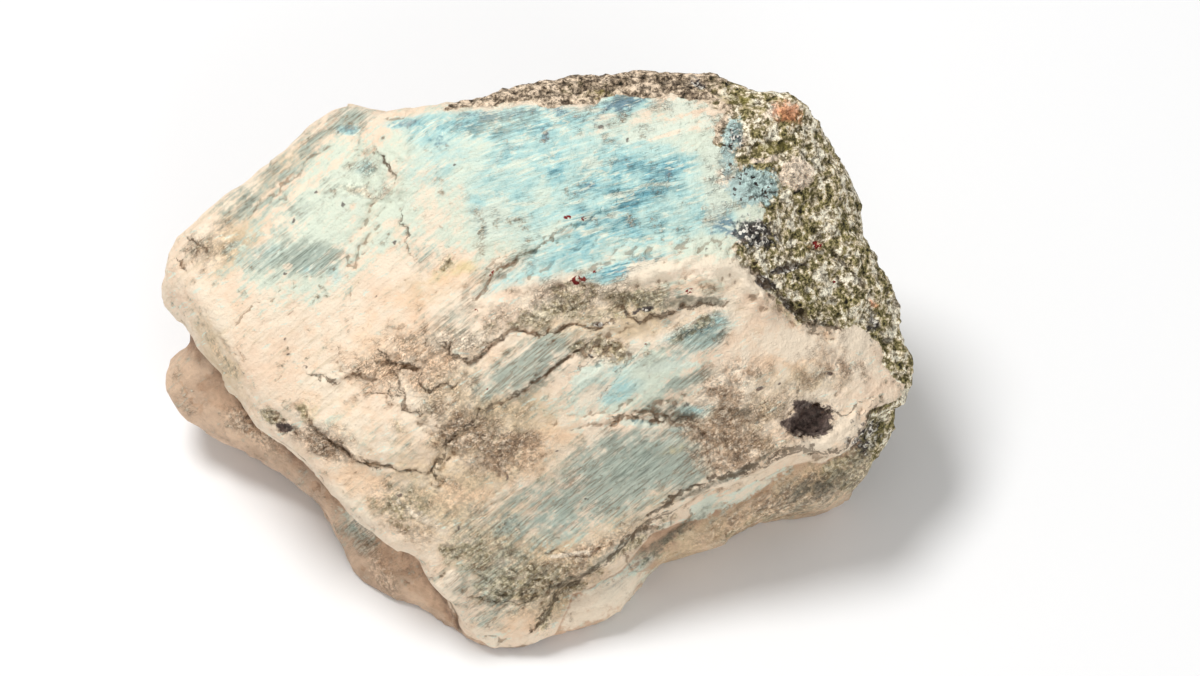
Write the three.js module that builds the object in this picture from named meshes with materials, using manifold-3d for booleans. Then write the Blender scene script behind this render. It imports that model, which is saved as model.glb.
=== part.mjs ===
// A rough piece of larimar: blue pectolite grown in basalt, as it was broken out of its vein.
// Millimetres, +Z up. The stone rests on a flat break at z = 0, its long way runs along X, and its
// broad show face leans back from -Y. The origin is the middle of its box, on the resting plane.
//
// Most forms are placed in the show frame, which looks straight at that face: u runs to the right,
// v up the face, and w out of it. The whole stone is one signed field, below 0 inside the stone.
import * as THREE from "three";
import { ImprovedNoise } from "three/addons/math/ImprovedNoise.js";
import { mergeVertices } from "three/addons/utils/BufferGeometryUtils.js";
import Module from "manifold-3d";

// ---- Driving dimensions, in millimetres ------------------------------------------------------------
const SHOW_ELEVATION = THREE.MathUtils.degToRad(55); // how steeply the show direction looks down
const LEAN = Math.PI / 2 - SHOW_ELEVATION; // the show frame is turned back about X by this
const BASE_DEPTH = 34.5; // from the middle of the stone down to the break it rests on
const CORE_CENTRE = new THREE.Vector3(0, 0, -14); // the flat egg inside the stone that its skin is
const CORE = new THREE.Vector3(40, 26, 8); // drawn out from: its middle and its half-widths
const REACH = 50; // no skin lies further than this from the core

const LONGEST_EDGE = 7; // of a triangle
const SHORTEST_EDGE = 1.6;
const FINEST_ERROR = 0.33; // an edge further off the skin than this is split
const SHORTEST_TURN = 0.01; // between the ends of an edge as directions, where the skin jumps

// ---- Outlines, in the show frame -------------------------------------------------------------------
// The upper slab: the show face's rim, from the top left corner clockwise.
const SLAB_RIM = [
  [-30.5, 40.5], [-22.5, 38.5], [-10.5, 40.8], [0, 43.5], [11.5, 45], [21.5, 48.6], [27.5, 48],
  [32, 43.8], [40, 42.2], [45.5, 38.5], [50.7, 29], [52.8, 19], [57.3, 10.5], [63.6, 0.6], [59.3, -8],
  [54.5, -9.5], [52.5, -13], [48.5, -16], [44, -15], [39.5, -16], [32, -20], [28.5, -21],
  [23.5, -24.5], [17.5, -27], [12.5, -33], [8, -35.5], [4, -37], [3.5, -39.5], [0.5, -46],
  [-5.5, -46.5], [-12, -44], [-13.5, -40.5], [-16.5, -36.5], [-18, -33], [-20.5, -31], [-26, -28],
  [-29.5, -26], [-33, -21], [-39, -15.5], [-46, -9], [-49, -4.5], [-55, 1.5], [-57.5, 6],
  [-60.5, 9], [-59.5, 15], [-57, 20], [-53.5, 23.5], [-47.5, 27], [-40, 33.5], [-33, 39.5],
];
// The body under the slab, which comes out past it on the left, in front and on the right.
const BODY_RIM = [
  [-56, 1.5], [-60, 0.3], [-64, -4], [-64, -6], [-61.8, -8.6], [-52.6, -14.9], [-46.5, -17],
  [-40, -20], [-35.8, -24.8], [-34.2, -27.5], [-32.5, -32.2], [-30.4, -35.9], [-23.2, -40.1],
  [-16.5, -44], [-8.5, -47], [-4.5, -47.5], [-0.5, -47], [11.5, -43], [14.5, -40.5], [17, -37],
  [19.5, -34], [30, -30.5], [37, -26.5], [50, -23.5], [53.5, -19.5], [57, -15.5], [58.5, -11.5],
  [58, -8], [58, 4], [54, 12], [50, 20], [48, 29], [42, 37], [28, 43], [12, 42], [-10, 38.5],
  [-22, 37], [-31, 38], [-46, 25.5], [-56, 17], [-58, 10],
];

// ---- The large breaks ------------------------------------------------------------------------------
// Each is a plane: its height w at a point, and how fast w changes along u and v.
const FACE_BREAKS = {
  leftPlateau: { at: [-20, 10, 13], slope: [0.12, -0.02] },
  rightPlateau: { at: [20, 20, 15.5], slope: [-0.1, -0.13] },
  backBevel: { at: [10, 40, 9], slope: [0, -0.9] },
  leftBevel: { at: [-40, 22, 9], slope: [0.5, -0.54] },
  leftWall: { at: [-48.5, 2, 9.8], slope: [1.7, 1.04] },
  crustFlank: { at: [36, 22, 13], slope: [-0.8, -0.05] },
  rightShoulder: { at: [42, 0, 9], slope: [-0.38, 0.2] },
  frontFace: { at: [15, -18, 8], slope: [-0.08, 0.42] },
  frontLeft: { at: [-27, -17, 9.5], slope: [0.3, 0.5] },
  frontTip: { at: [-3, -40, 0], slope: [0, 0.9] },
};
const BODY_BREAKS = {
  leftLobe: { at: [-45, -12, -14], slope: [0.45, 0.25] },
  frontLobe: { at: [-22, -36, -7], slope: [0.1, 0.1] },
  rightLedge: { at: [35, -24, -5], slope: [-0.35, 0.35] },
};
const UNDERSIDE = { at: [0, 0, -9], slope: [0, 0] };

// The sides and the underside, as world planes: the way each one faces and how far out it lies.
const WORLD_BREAKS = {
  back: { facing: [0.05, 0.98, 0.15], reach: 42 },
  backLeft: { facing: [-0.62, 0.75, 0.1], reach: 52 },
  backRight: { facing: [0.66, 0.74, 0.15], reach: 56 },
  backFoot: { facing: [0.1, 0.8, -0.6], reach: 45 },
  backLowLeft: { facing: [-0.45, 0.8, -0.4], reach: 50 },
  leftEnd: { facing: [-0.95, 0.28, -0.15], reach: 67 },
  leftFoot: { facing: [-0.75, -0.2, -0.65], reach: 59 },
  rightEnd: { facing: [0.9, 0.42, -0.1], reach: 62 },
  rightFront: { facing: [0.8, -0.5, -0.3], reach: 60 },
  rightFoot: { facing: [0.8, 0.1, -0.6], reach: 58 },
  frontFoot: { facing: [0.1, -0.7, -0.7], reach: 51 },
};

// ---- The relief of the show face -------------------------------------------------------------------
// Ledges: lines of [u, v, drop]. The ground on the left of the way along a line stands higher, by the
// drop there, and both sides ease back to the face within fade millimetres.
const LEDGES = {
  fold: {
    fade: 12,
    line: [
      [18, 33, 0], [12.5, 24, 1], [4, 19, 2], [-2, 15.5, 2.6], [-7, 12, 2.2], [-9, 9, 1.4], [-13, 6.5, 0],
    ],
  },
  brow: {
    fade: 7,
    line: [
      [-15.5, 3.5, 0], [-13, 0.8, 1], [-10, -1, 1.7], [-6, 2, 1.6], [-4, 4.6, 1.5], [1, 3.7, 1.8],
      [6.5, 5, 1.7], [10.5, 4.8, 1.2], [13.5, 6.2, 0.6], [15.5, 7, 0],
    ],
  },
  notch: {
    fade: 6,
    line: [[12.3, 8.5, 0], [14.4, 7.7, 1.2], [17.1, 5.9, 2.4], [21.2, 7.2, 1.8], [26.2, 8.9, 0]],
  },
  splinter: {
    fade: 8,
    line: [[-9, -9, 0], [-4.6, -6.6, 1.3], [0.9, -3.4, 1.8], [5.7, -0.2, 1.7], [9.2, 2.9, 0]],
  },
  plate: {
    fade: 9,
    line: [
      [30, -13, 0], [26.5, -12, 1.5], [21, -10.3, 2], [14.5, -10, 1.7], [7.5, -11, 0.8], [3.5, -11.8, 0],
    ],
  },
  plateEnd: { fade: 6, line: [[27.5, -13, 0], [28.2, -15.5, 0.9], [28, -20, 1.1], [25.5, -23, 0]] },
  lens: {
    fade: 9,
    line: [
      [-37, -7.7, 0], [-35.7, -9.7, 1.2], [-34.1, -11.8, 2.6], [-30.7, -14.3, 3.8], [-27.2, -16.5, 3.2],
      [-23.5, -17.5, 1.8], [-18.8, -17.9, 0.8], [-14.9, -18.6, 0],
    ],
  },
  tooth: {
    fade: 9,
    line: [[-26, 34.5, 0], [-24.3, 32.4, 1.3], [-22.8, 30.5, 2.2], [-21.5, 28.7, 1.7], [-22, 26.5, 0]],
  },
  upperStep: {
    fade: 5,
    line: [
      [-36, -2.5, 0], [-32, -3.8, 1], [-29.5, -2.5, 0.9], [-24, -3.3, 1.2], [-21.5, -1.8, 1.5],
      [-18, -0.3, 1.3], [-15.5, 0.8, 0],
    ],
  },
  lowerStep: { fade: 4, line: [[-28, -5.2, 0], [-24.2, -6.2, 1], [-20, -7.6, 1.1], [-16.4, -6.8, 0]] },
  flake: { fade: 5, line: [[1, -31, 0], [5.4, -31.8, 0.9], [9.8, -31.2, 1], [13.2, -28.7, 0]] },
  endBlock: { fade: 5, line: [[-56, 19.8, 0], [-53.8, 18.3, 1.6], [-51.9, 16.7, 1.6], [-51.5, 15, 0]] },
  endChip: { fade: 4, line: [[-58.5, 16, 0], [-57, 14.9, 1.2], [-55.8, 14, 1.2], [-54.5, 13, 0]] },
};

// Ribs and grooves: a line, the height of its crest (below 0 for a groove) and half its width.
const RIBS = {
  creamRidge: { rise: 2.6, half: 3.6, line: [[10.5, 11.3], [17, 13.7], [26, 14.8], [33, 14], [37, 9.6]] },
  lip: { rise: 1.4, half: 2.6, line: [[39, -13.3], [42, -14.3], [47, -15], [51, -13.2], [54.8, -9.2]] },
  crustGap: { rise: -1.5, half: 1.5, line: [[33, 15], [37.3, 10.5], [42, 5.5], [46.8, 4]] },
  crease: { rise: -0.9, half: 1.5, line: [[-22, 26.5], [-25, 23.5], [-26.8, 18.7], [-28.8, 15]] },
  forkLeft: { rise: -1, half: 1.2, line: [[-17.5, -10.5], [-13.5, -12.8], [-10.5, -11], [-8, -9]] },
  forkDown: { rise: -1.1, half: 1.2, line: [[-13.5, -12.8], [-14, -15], [-16, -18.3], [-15.3, -20]] },
  tipCrack: { rise: -0.8, half: 1.1, line: [[-10, -38.2], [-5.5, -39.4], [-1, -39.3], [1.7, -38.2]] },
};

// Bumps and pits: an oval by its middle, half-widths and turn in degrees, its height (below 0 for a
// pit), and how much of it the flat middle takes.
const BUMPS = {
  knob: { at: [42.5, 29.5], half: [3.2, 3], turn: 0, rise: 1.8, flat: 0.2 },
  rustCorner: { at: [39.5, 39.5], half: [3.5, 3], turn: 0, rise: 1.5, flat: 0.2 },
  tipLip: { at: [-13.5, -36.5], half: [2.6, 3.2], turn: 0, rise: 1.4, flat: 0.4 },
  toothHollow: { at: [-27.5, 30.5], half: [5, 4.2], turn: -50, rise: -1.4, flat: 0 },
  pocket: { at: [11.2, 0.9], half: [5.4, 2.9], turn: -10, rise: -1.3, flat: 0.5 },
  purplePit: { at: [43.9, -10.2], half: [4.2, 2.8], turn: 18, rise: -3.4, flat: 0.6 },
  pitBowl: { at: [45, -6], half: [9, 5], turn: 5, rise: -1.3, flat: 0 },
  greenPit: { at: [-40, -11.4], half: [2.6, 1.8], turn: -30, rise: -2, flat: 0.4 },
  plateRecess: { at: [22, -8.4], half: [6, 2.2], turn: 8, rise: -1, flat: 0.2 },
};

// The basalt crust along the back and the right is knobblier than the pectolite.
const CRUST_RIM = [
  [-10, 40.5], [4, 39.5], [17, 41.5], [26.5, 41.5], [34, 39.5], [30, 33], [33.5, 28.5], [38.5, 23],
  [33, 17], [37.5, 11], [42, 5.5], [53.5, 4], [58, -4.5], [80, -4], [80, 60], [-10, 60],
];
const SMOOTH_LUMPS = { size: 16, height: 0.8 };
const CRUST_LUMPS = { size: 9, height: 1.3 };
// The hidden sides are broken into swells that meet in creases, from this w down.
const SIDE_SWELLS = { size: 27, height: 1.5, from: -12, full: -28 };

// ---- Small tools -----------------------------------------------------------------------------------
const { clamp, smoothstep } = THREE.MathUtils;
const perlin = new ImprovedNoise();

// Layers of noise, from -1 to 1, with its largest lumps scale millimetres apart.
function lumps(x, y, z, scale, layers) {
  let sum = 0;
  let share = 1;
  for (let k = 0; k < layers; k++) {
    const f = 2 ** k / scale;
    sum += share * perlin.noise(x * f + 7.3 * k, y * f + 3.1, z * f - 5.7 * k);
    share *= 0.5;
  }
  return sum;
}

// The larger and the smaller of two distances, with the corner between them rounded over.
function roundMax(a, b, radius) {
  const h = Math.max(radius - Math.abs(a - b), 0) / radius;
  return Math.max(a, b) + (h * h * radius) / 4;
}

function roundMin(a, b, radius) {
  return -roundMax(-a, -b, radius);
}

// Distance from (u, v) to a closed outline, below 0 inside it.
function outlineDistance(u, v, outline) {
  let nearest = Infinity;
  let inside = false;
  let [ax, ay] = outline.at(-1);
  for (const [bx, by] of outline) {
    const ex = bx - ax;
    const ey = by - ay;
    const t = Math.min(1, Math.max(0, ((u - ax) * ex + (v - ay) * ey) / (ex * ex + ey * ey)));
    const du = u - ax - ex * t;
    const dv = v - ay - ey * t;
    nearest = Math.min(nearest, du * du + dv * dv);
    if (ay > v !== by > v && u < ax + (ex * (v - ay)) / ey) inside = !inside;
    ax = bx;
    ay = by;
  }
  return inside ? -Math.sqrt(nearest) : Math.sqrt(nearest);
}

// Where a line is nearest to (u, v), if that is within a limit: how far it is, whether (u, v) is on the
// left of it, and the last number of its points there.
function nearestOnLine(u, v, line, limit) {
  let best = null;
  for (let k = 1; k < line.length; k++) {
    const [ax, ay, from = 0] = line[k - 1];
    const [bx, by, to = 0] = line[k];
    if (u < Math.min(ax, bx) - limit || u > Math.max(ax, bx) + limit) continue;
    if (v < Math.min(ay, by) - limit || v > Math.max(ay, by) + limit) continue;
    const ex = bx - ax;
    const ey = by - ay;
    const t = clamp(((u - ax) * ex + (v - ay) * ey) / (ex * ex + ey * ey), 0, 1);
    const distance = Math.hypot(u - ax - ex * t, v - ay - ey * t);
    if (distance >= limit) continue;
    best = { distance, left: ex * (v - ay) > ey * (u - ax), value: from + (to - from) * t };
    limit = distance;
  }
  return best;
}

// 1 at 0, easing down to 0 at 1 and beyond.
function ease(x) {
  return x >= 1 ? 0 : (1 - x * x) ** 2;
}

function planeHeight({ at, slope }, u, v) {
  return at[2] + slope[0] * (u - at[0]) + slope[1] * (v - at[1]);
}

function lowestOf(breaks, u, v, radius) {
  let low = planeHeight(breaks[0], u, v);
  for (let k = 1; k < breaks.length; k++) low = roundMin(low, planeHeight(breaks[k], u, v), radius);
  return low;
}

// ---- The stone's field -----------------------------------------------------------------------------
const RISER = 0.7; // half the width of a ledge's drop
const ledges = Object.values(LEDGES);
const ribs = Object.values(RIBS);
const bumps = Object.values(BUMPS).map(({ turn, ...bump }) => {
  const angle = THREE.MathUtils.degToRad(turn);
  return { ...bump, cos: Math.cos(angle), sin: Math.sin(angle) };
});
const faceBreaks = Object.values(FACE_BREAKS);
const bodyBreaks = Object.values(BODY_BREAKS);

// How far the ledges, ribs and bumps raise the face.
function relief(u, v) {
  let rise = 0;
  for (const { line, fade } of ledges) {
    const near = nearestOnLine(u, v, line, fade);
    if (!near) continue;
    const side = Math.min(1, near.distance / RISER) * (near.left ? 0.5 : -0.5);
    rise += side * near.value * ease(near.distance / fade);
  }
  for (const { line, half, rise: crest } of ribs) {
    const near = nearestOnLine(u, v, line, half);
    if (near) rise += crest * ease(near.distance / half);
  }
  for (const { at, half, cos, sin, rise: crest, flat } of bumps) {
    const du = u - at[0];
    const dv = v - at[1];
    const r = Math.hypot((du * cos + dv * sin) / half[0], (dv * cos - du * sin) / half[1]);
    if (r < 1) rise += crest * ease(Math.max(0, (r - flat) / (1 - flat)));
  }
  return rise;
}

function slabField(u, v, w) {
  const rim = outlineDistance(u, v, SLAB_RIM);
  let top = w - lowestOf(faceBreaks, u, v, 2);
  if (rim < 4 && Math.abs(top) < 8) top -= relief(u, v);
  const under = planeHeight(UNDERSIDE, u, v) - w;
  return roundMax(roundMax(rim, top, 2), under, 3);
}

function bodyField(u, v, w) {
  const rim = outlineDistance(u, v, BODY_RIM);
  return roundMax(rim, w - lowestOf(bodyBreaks, u, v, 4), 5);
}

const worldPlanes = Object.values(WORLD_BREAKS).map(({ facing, reach }) => {
  const normal = new THREE.Vector3(...facing).normalize();
  return { normal: normal.applyAxisAngle(new THREE.Vector3(1, 0, 0), -LEAN), reach };
});

function stoneField(p) {
  let d = roundMin(slabField(p.x, p.y, p.z), bodyField(p.x, p.y, p.z), 2);
  for (const { normal, reach } of worldPlanes) d = roundMax(d, normal.dot(p) - reach, 3);
  if (Math.abs(d) > 4) return d;
  d += SMOOTH_LUMPS.height * lumps(p.x, p.y, p.z, SMOOTH_LUMPS.size, 2);
  const crust = clamp(0.5 - outlineDistance(p.x, p.y, CRUST_RIM) / 3, 0, 1);
  d += crust * CRUST_LUMPS.height * lumps(p.x + 50, p.y, p.z, CRUST_LUMPS.size, 1);
  const side = 1 - smoothstep(p.z, SIDE_SWELLS.full, SIDE_SWELLS.from);
  const crease = 1 - 4 * Math.abs(lumps(p.x, p.y + 40, p.z, SIDE_SWELLS.size, 1));
  return d + side * SIDE_SWELLS.height * crease;
}

// ---- The skin --------------------------------------------------------------------------------------
const skinPoints = new Map();

// Where the stone ends, straight out from the point of the core that a direction stands for.
function skinPoint(direction) {
  const key = [direction.x, direction.y, direction.z].map((c) => c.toFixed(6)).join();
  if (skinPoints.has(key)) return skinPoints.get(key);
  const root = direction.clone().multiply(CORE).add(CORE_CENTRE);
  const out = direction.clone().divide(CORE).normalize();
  const at = (r) => root.clone().addScaledVector(out, r);
  let outer = REACH;
  let inner = REACH;
  for (let off = stoneField(at(inner)); off > 0; off = stoneField(at(inner))) {
    outer = inner;
    inner -= Math.max(0.5, 0.6 * off);
  }
  for (let halving = 0; halving < 9; halving++) {
    const middle = (outer + inner) / 2;
    if (stoneField(at(middle)) > 0) outer = middle;
    else inner = middle;
  }
  const point = at(inner);
  skinPoints.set(key, point);
  return point;
}

// The directions and triangles of a ball to start from.
function startBall() {
  const ball = new THREE.IcosahedronGeometry(1, 3);
  ball.deleteAttribute("normal");
  ball.deleteAttribute("uv");
  const { attributes, index } = mergeVertices(ball, 1e-4);
  const directions = [];
  for (let i = 0; i < attributes.position.count; i++)
    directions.push(new THREE.Vector3().fromBufferAttribute(attributes.position, i).normalize());
  const faces = [];
  for (let i = 0; i < index.count; i += 3) faces.push(Array.from(index.array.slice(i, i + 3)));
  return { directions, faces };
}

const edgeKey = (a, b) => (a < b ? a * 1e6 + b : b * 1e6 + a);
const edgesOf = ([a, b, c]) => [[a, b], [b, c], [c, a]];

// A ball whose corners are moved out to the skin, and whose edges are split until the skin between
// them is close to straight. A triangle with a split edge is also split on its longest edge, which
// keeps triangles from growing thin.
function wrapSkin() {
  let { directions, faces } = startBall();
  const points = directions.map(skinPoint);
  const length = (a, b) => points[a].distanceTo(points[b]);
  const between = (a, b, t) => new THREE.Vector3().lerpVectors(directions[a], directions[b], t).normalize();
  const longer = (x, y) => (length(x[0], x[1]) >= length(y[0], y[1]) ? x : y);

  function offSkin(a, b) {
    const chord = new THREE.Line3(points[a], points[b]);
    const foot = new THREE.Vector3();
    return [0.5, 0.25, 0.75].some((t) => {
      const skin = skinPoint(between(a, b, t));
      return chord.closestPointToPoint(skin, true, foot).distanceTo(skin) > FINEST_ERROR;
    });
  }
  const judged = new Map();
  function tooCoarse([a, b]) {
    const key = edgeKey(a, b);
    if (!judged.has(key)) {
      const mayBend = directions[a].distanceTo(directions[b]) > SHORTEST_TURN;
      const long = length(a, b) > LONGEST_EDGE;
      judged.set(key, mayBend && (long || (length(a, b) > SHORTEST_EDGE && offSkin(a, b))));
    }
    return judged.get(key);
  }

  for (;;) {
    const marked = new Set();
    const isMarked = ([a, b]) => marked.has(edgeKey(a, b));
    for (const edge of faces.flatMap(edgesOf)) if (tooCoarse(edge)) marked.add(edgeKey(...edge));
    if (!marked.size) return { points, faces };
    for (let before = 0; before < marked.size; ) {
      before = marked.size;
      for (const edges of faces.map(edgesOf))
        if (edges.some(isMarked)) marked.add(edgeKey(...edges.reduce(longer)));
    }

    const middles = new Map();
    const middleOf = (a, b) => {
      const key = edgeKey(a, b);
      if (!middles.has(key)) {
        directions.push(between(a, b, 0.5));
        points.push(skinPoint(directions.at(-1)));
        middles.set(key, points.length - 1);
      }
      return middles.get(key);
    };
    const split = ([a, b, c]) => {
      // The triangle is turned so that the longest of its marked edges comes first.
      const turns = [[a, b, c], [b, c, a], [c, a, b]].filter(isMarked);
      if (!turns.length) return [[a, b, c]];
      const [p, q, r] = turns.reduce(longer);
      const m = middleOf(p, q);
      return [...split([p, m, r]), ...split([m, q, r])];
    };
    faces = faces.flatMap(split);
  }
}

const wasm = await Module();
wasm.setup();

function solidOf(positions, corners) {
  const vertProperties = new Float32Array(positions);
  const triVerts = new Uint32Array(corners);
  return new wasm.Manifold(new wasm.Mesh({ numProp: 3, vertProperties, triVerts }));
}

function geometryOf(solid) {
  const { vertProperties, triVerts } = solid.getMesh();
  const geometry = new THREE.BufferGeometry();
  geometry.setAttribute("position", new THREE.BufferAttribute(vertProperties, 3));
  geometry.setIndex(new THREE.BufferAttribute(triVerts, 1));
  geometry.computeVertexNormals();
  return geometry;
}

// The resting break: everything of the stone below the resting plane is cut away.
function belowGround() {
  const block = new THREE.BoxGeometry(4 * REACH, 4 * REACH, REACH);
  block.translate(0, 0, -REACH / 2 - BASE_DEPTH);
  block.rotateX(-LEAN);
  block.deleteAttribute("normal");
  block.deleteAttribute("uv");
  const { attributes, index } = mergeVertices(block, 1e-4);
  return solidOf(attributes.position.array, index.array);
}

const skin = wrapSkin();
const positions = skin.points.flatMap((p) => p.toArray());
const stone = solidOf(positions, skin.faces.flat()).subtract(belowGround());

const larimar = new THREE.Mesh(
  geometryOf(stone),
  new THREE.MeshStandardMaterial({ color: 0xbfd0c8, roughness: 0.6, metalness: 0 }),
);
larimar.name = "larimar_stone";
larimar.rotation.x = LEAN;
larimar.position.z = BASE_DEPTH;
const middle = new THREE.Box3().setFromObject(larimar, true).getCenter(new THREE.Vector3());
larimar.position.x -= middle.x;
larimar.position.y -= middle.y;

const group = new THREE.Group();
group.add(larimar);
export default group;
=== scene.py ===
# The looks of the raw larimar stone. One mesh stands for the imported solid: the solid's own skin, made
# finer, with its ledges cut sharp again, and with cracks, chips and grit too fine for the solid.
#
# Forms and colours are placed in the show frame, in millimetres: u runs to the right, v up the broad
# face and w out of it, as in the part's source.
import itertools
import math

import bmesh
import bpy
import numpy as np
from mathutils import Matrix, Vector


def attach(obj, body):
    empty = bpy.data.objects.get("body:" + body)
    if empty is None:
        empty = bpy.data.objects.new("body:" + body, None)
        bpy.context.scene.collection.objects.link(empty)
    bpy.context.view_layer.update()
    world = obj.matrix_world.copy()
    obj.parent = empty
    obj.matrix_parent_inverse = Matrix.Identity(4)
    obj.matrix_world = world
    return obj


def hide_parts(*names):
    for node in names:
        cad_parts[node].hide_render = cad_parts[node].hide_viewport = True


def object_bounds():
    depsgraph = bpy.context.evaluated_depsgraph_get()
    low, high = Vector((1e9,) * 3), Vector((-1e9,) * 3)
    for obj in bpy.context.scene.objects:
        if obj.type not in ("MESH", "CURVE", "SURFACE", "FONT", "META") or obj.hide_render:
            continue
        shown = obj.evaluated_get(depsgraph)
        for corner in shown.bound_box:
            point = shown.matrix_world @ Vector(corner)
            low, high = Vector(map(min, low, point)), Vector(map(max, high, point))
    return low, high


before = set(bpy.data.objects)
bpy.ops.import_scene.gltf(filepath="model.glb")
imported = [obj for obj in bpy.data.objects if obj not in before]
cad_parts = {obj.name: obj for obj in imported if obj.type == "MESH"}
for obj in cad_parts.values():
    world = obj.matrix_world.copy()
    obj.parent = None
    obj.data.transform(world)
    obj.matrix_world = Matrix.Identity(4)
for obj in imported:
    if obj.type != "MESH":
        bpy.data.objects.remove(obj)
cad_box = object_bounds()
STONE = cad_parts["larimar_stone"]

# ---- Driving dimensions ------------------------------------------------------------------------------
MM = 0.001
SHOW_ELEVATION = math.radians(55)
SHOW_ORIGIN = np.array((-0.08, -5.42, 34.5))  # of the show frame, in the row frame
SHOW_WAYS = np.array(
    (
        (1, 0, 0),
        (0, math.sin(SHOW_ELEVATION), math.cos(SHOW_ELEVATION)),
        (0, -math.cos(SHOW_ELEVATION), math.sin(SHOW_ELEVATION)),
    )
)

COARSE = 1.24  # between the mesh's points on the hidden sides, and a third of it on the show side
BLUR = 16  # rounds of smoothing that take the solid's facets away
SOLID_RISER = 0.7  # half the width of a ledge's slope in the solid
BASE_BAND = 0.4  # what lies this low is flattened into the base
FLAKE_TURN = 35  # degrees that the flakes lean above the horizontal
BUNDLE_TURN = 38  # and the bundles of fibres
TERRACES = ((-20, -1), (15, 8), 10)  # the broken blocks: their middle, half-widths and turn

# ---- Outlines, as in the part's source ---------------------------------------------------------------
SLAB_RIM = [
    (-30.5, 40.5), (-22.5, 38.5), (-10.5, 40.8), (0, 43.5), (11.5, 45), (21.5, 48.6), (27.5, 48),
    (32, 43.8), (40, 42.2), (45.5, 38.5), (50.7, 29), (52.8, 19), (57.3, 10.5), (63.6, 0.6),
    (59.3, -8), (54.5, -9.5), (52.5, -13), (48.5, -16), (44, -15), (39.5, -16), (32, -20),
    (28.5, -21), (23.5, -24.5), (17.5, -27), (12.5, -33), (8, -35.5), (4, -37), (3.5, -39.5),
    (0.5, -46), (-5.5, -46.5), (-12, -44), (-13.5, -40.5), (-16.5, -36.5), (-18, -33),
    (-20.5, -31), (-26, -28), (-29.5, -26), (-33, -21), (-39, -15.5), (-46, -9), (-49, -4.5),
    (-55, 1.5), (-57.5, 6), (-60.5, 9), (-59.5, 15), (-57, 20), (-53.5, 23.5), (-47.5, 27),
    (-40, 33.5), (-33, 39.5),
]
CRUST_RIM = [
    (-10, 40.5), (4, 39.5), (17, 41.5), (26, 41), (31, 39), (28.5, 34), (32, 29.5),
    (36.5, 23), (32, 17), (36.5, 11), (42, 5.5), (53.5, 4), (58, -4.5), (80, -4), (80, 60), (-10, 60),
]

# ---- Relief, as in the part's source -----------------------------------------------------------------
# Ledges: how far the drop fades out, and the line of (u, v, drop); the ground on its left is higher.
LEDGES = {
    "fold": (12, [
        (18, 33, 0), (12.5, 24, 1), (4, 19, 2), (-2, 15.5, 2.6), (-7, 12, 2.2), (-9, 9, 1.4),
        (-13, 6.5, 0)
    ]),
    "brow": (7, [
        (-15.5, 3.5, 0), (-13, 0.8, 1), (-10, -1, 1.7), (-6, 2, 1.6), (-4, 4.6, 1.5), (1, 3.7, 1.8),
        (6.5, 5, 1.7), (10.5, 4.8, 1.2), (13.5, 6.2, 0.6), (15.5, 7, 0)
    ]),
    "notch": (6, [(12.3, 8.5, 0), (14.4, 7.7, 1.2), (17.1, 5.9, 2.4), (21.2, 7.2, 1.8), (26.2, 8.9, 0)]),
    "splinter": (8, [(-9, -9, 0), (-4.6, -6.6, 1.3), (0.9, -3.4, 1.8), (5.7, -0.2, 1.7), (9.2, 2.9, 0)]),
    "plate": (9, [
        (30, -13, 0), (26.5, -12, 1.5), (21, -10.3, 2), (14.5, -10, 1.7), (7.5, -11, 0.8),
        (3.5, -11.8, 0)
    ]),
    "plate end": (6, [(27.5, -13, 0), (28.2, -15.5, 0.9), (28, -20, 1.1), (25.5, -23, 0)]),
    "lens": (9, [
        (-37, -7.7, 0), (-35.7, -9.7, 1.2), (-34.1, -11.8, 2.6), (-30.7, -14.3, 3.8), (-27.2, -16.5, 3.2),
        (-23.5, -17.5, 1.8), (-18.8, -17.9, 0.8), (-14.9, -18.6, 0)
    ]),
    "tooth": (9, [
        (-26, 34.5, 0), (-24.3, 32.4, 1.3), (-22.8, 30.5, 2.2), (-21.5, 28.7, 1.7), (-22, 26.5, 0)
    ]),
    "upper step": (5, [
        (-36, -2.5, 0), (-32, -3.8, 1), (-29.5, -2.5, 0.9), (-24, -3.3, 1.2), (-21.5, -1.8, 1.5),
        (-18, -0.3, 1.3), (-15.5, 0.8, 0)
    ]),
    "lower step": (4, [(-28, -5.2, 0), (-24.2, -6.2, 1), (-20, -7.6, 1.1), (-16.4, -6.8, 0)]),
    "flake": (5, [(1, -31, 0), (5.4, -31.8, 0.9), (9.8, -31.2, 1), (13.2, -28.7, 0)]),
    "end block": (5, [(-56, 19.8, 0), (-53.8, 18.3, 1.6), (-51.9, 16.7, 1.6), (-51.5, 15, 0)]),
    "end chip": (4, [(-58.5, 16, 0), (-57, 14.9, 1.2), (-55.8, 14, 1.2), (-54.5, 13, 0)]),
}
# Ribs, and grooves below 0: the crest's height, half the width, and the line.
RIBS = {
    "cream ridge": (2.6, 3.6, [(10.5, 11.3), (17, 13.7), (26, 14.8), (33, 14), (37, 9.6)]),
    "lip": (1.4, 2.6, [(39, -13.3), (42, -14.3), (47, -15), (51, -13.2), (54.8, -9.2)]),
    "crust gap": (-1.5, 1.5, [(33, 15), (37.3, 10.5), (42, 5.5), (46.8, 4)]),
    "crease": (-0.9, 1.5, [(-22, 26.5), (-25, 23.5), (-26.8, 18.7), (-28.8, 15)]),
    "fork left": (-1, 1.2, [(-17.5, -10.5), (-13.5, -12.8), (-10.5, -11), (-8, -9)]),
    "fork down": (-1.1, 1.2, [(-13.5, -12.8), (-14, -15), (-16, -18.3), (-15.3, -20)]),
    "tip crack": (-0.8, 1.1, [(-10, -38.2), (-5.5, -39.4), (-1, -39.3), (1.7, -38.2)]),
}
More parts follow.
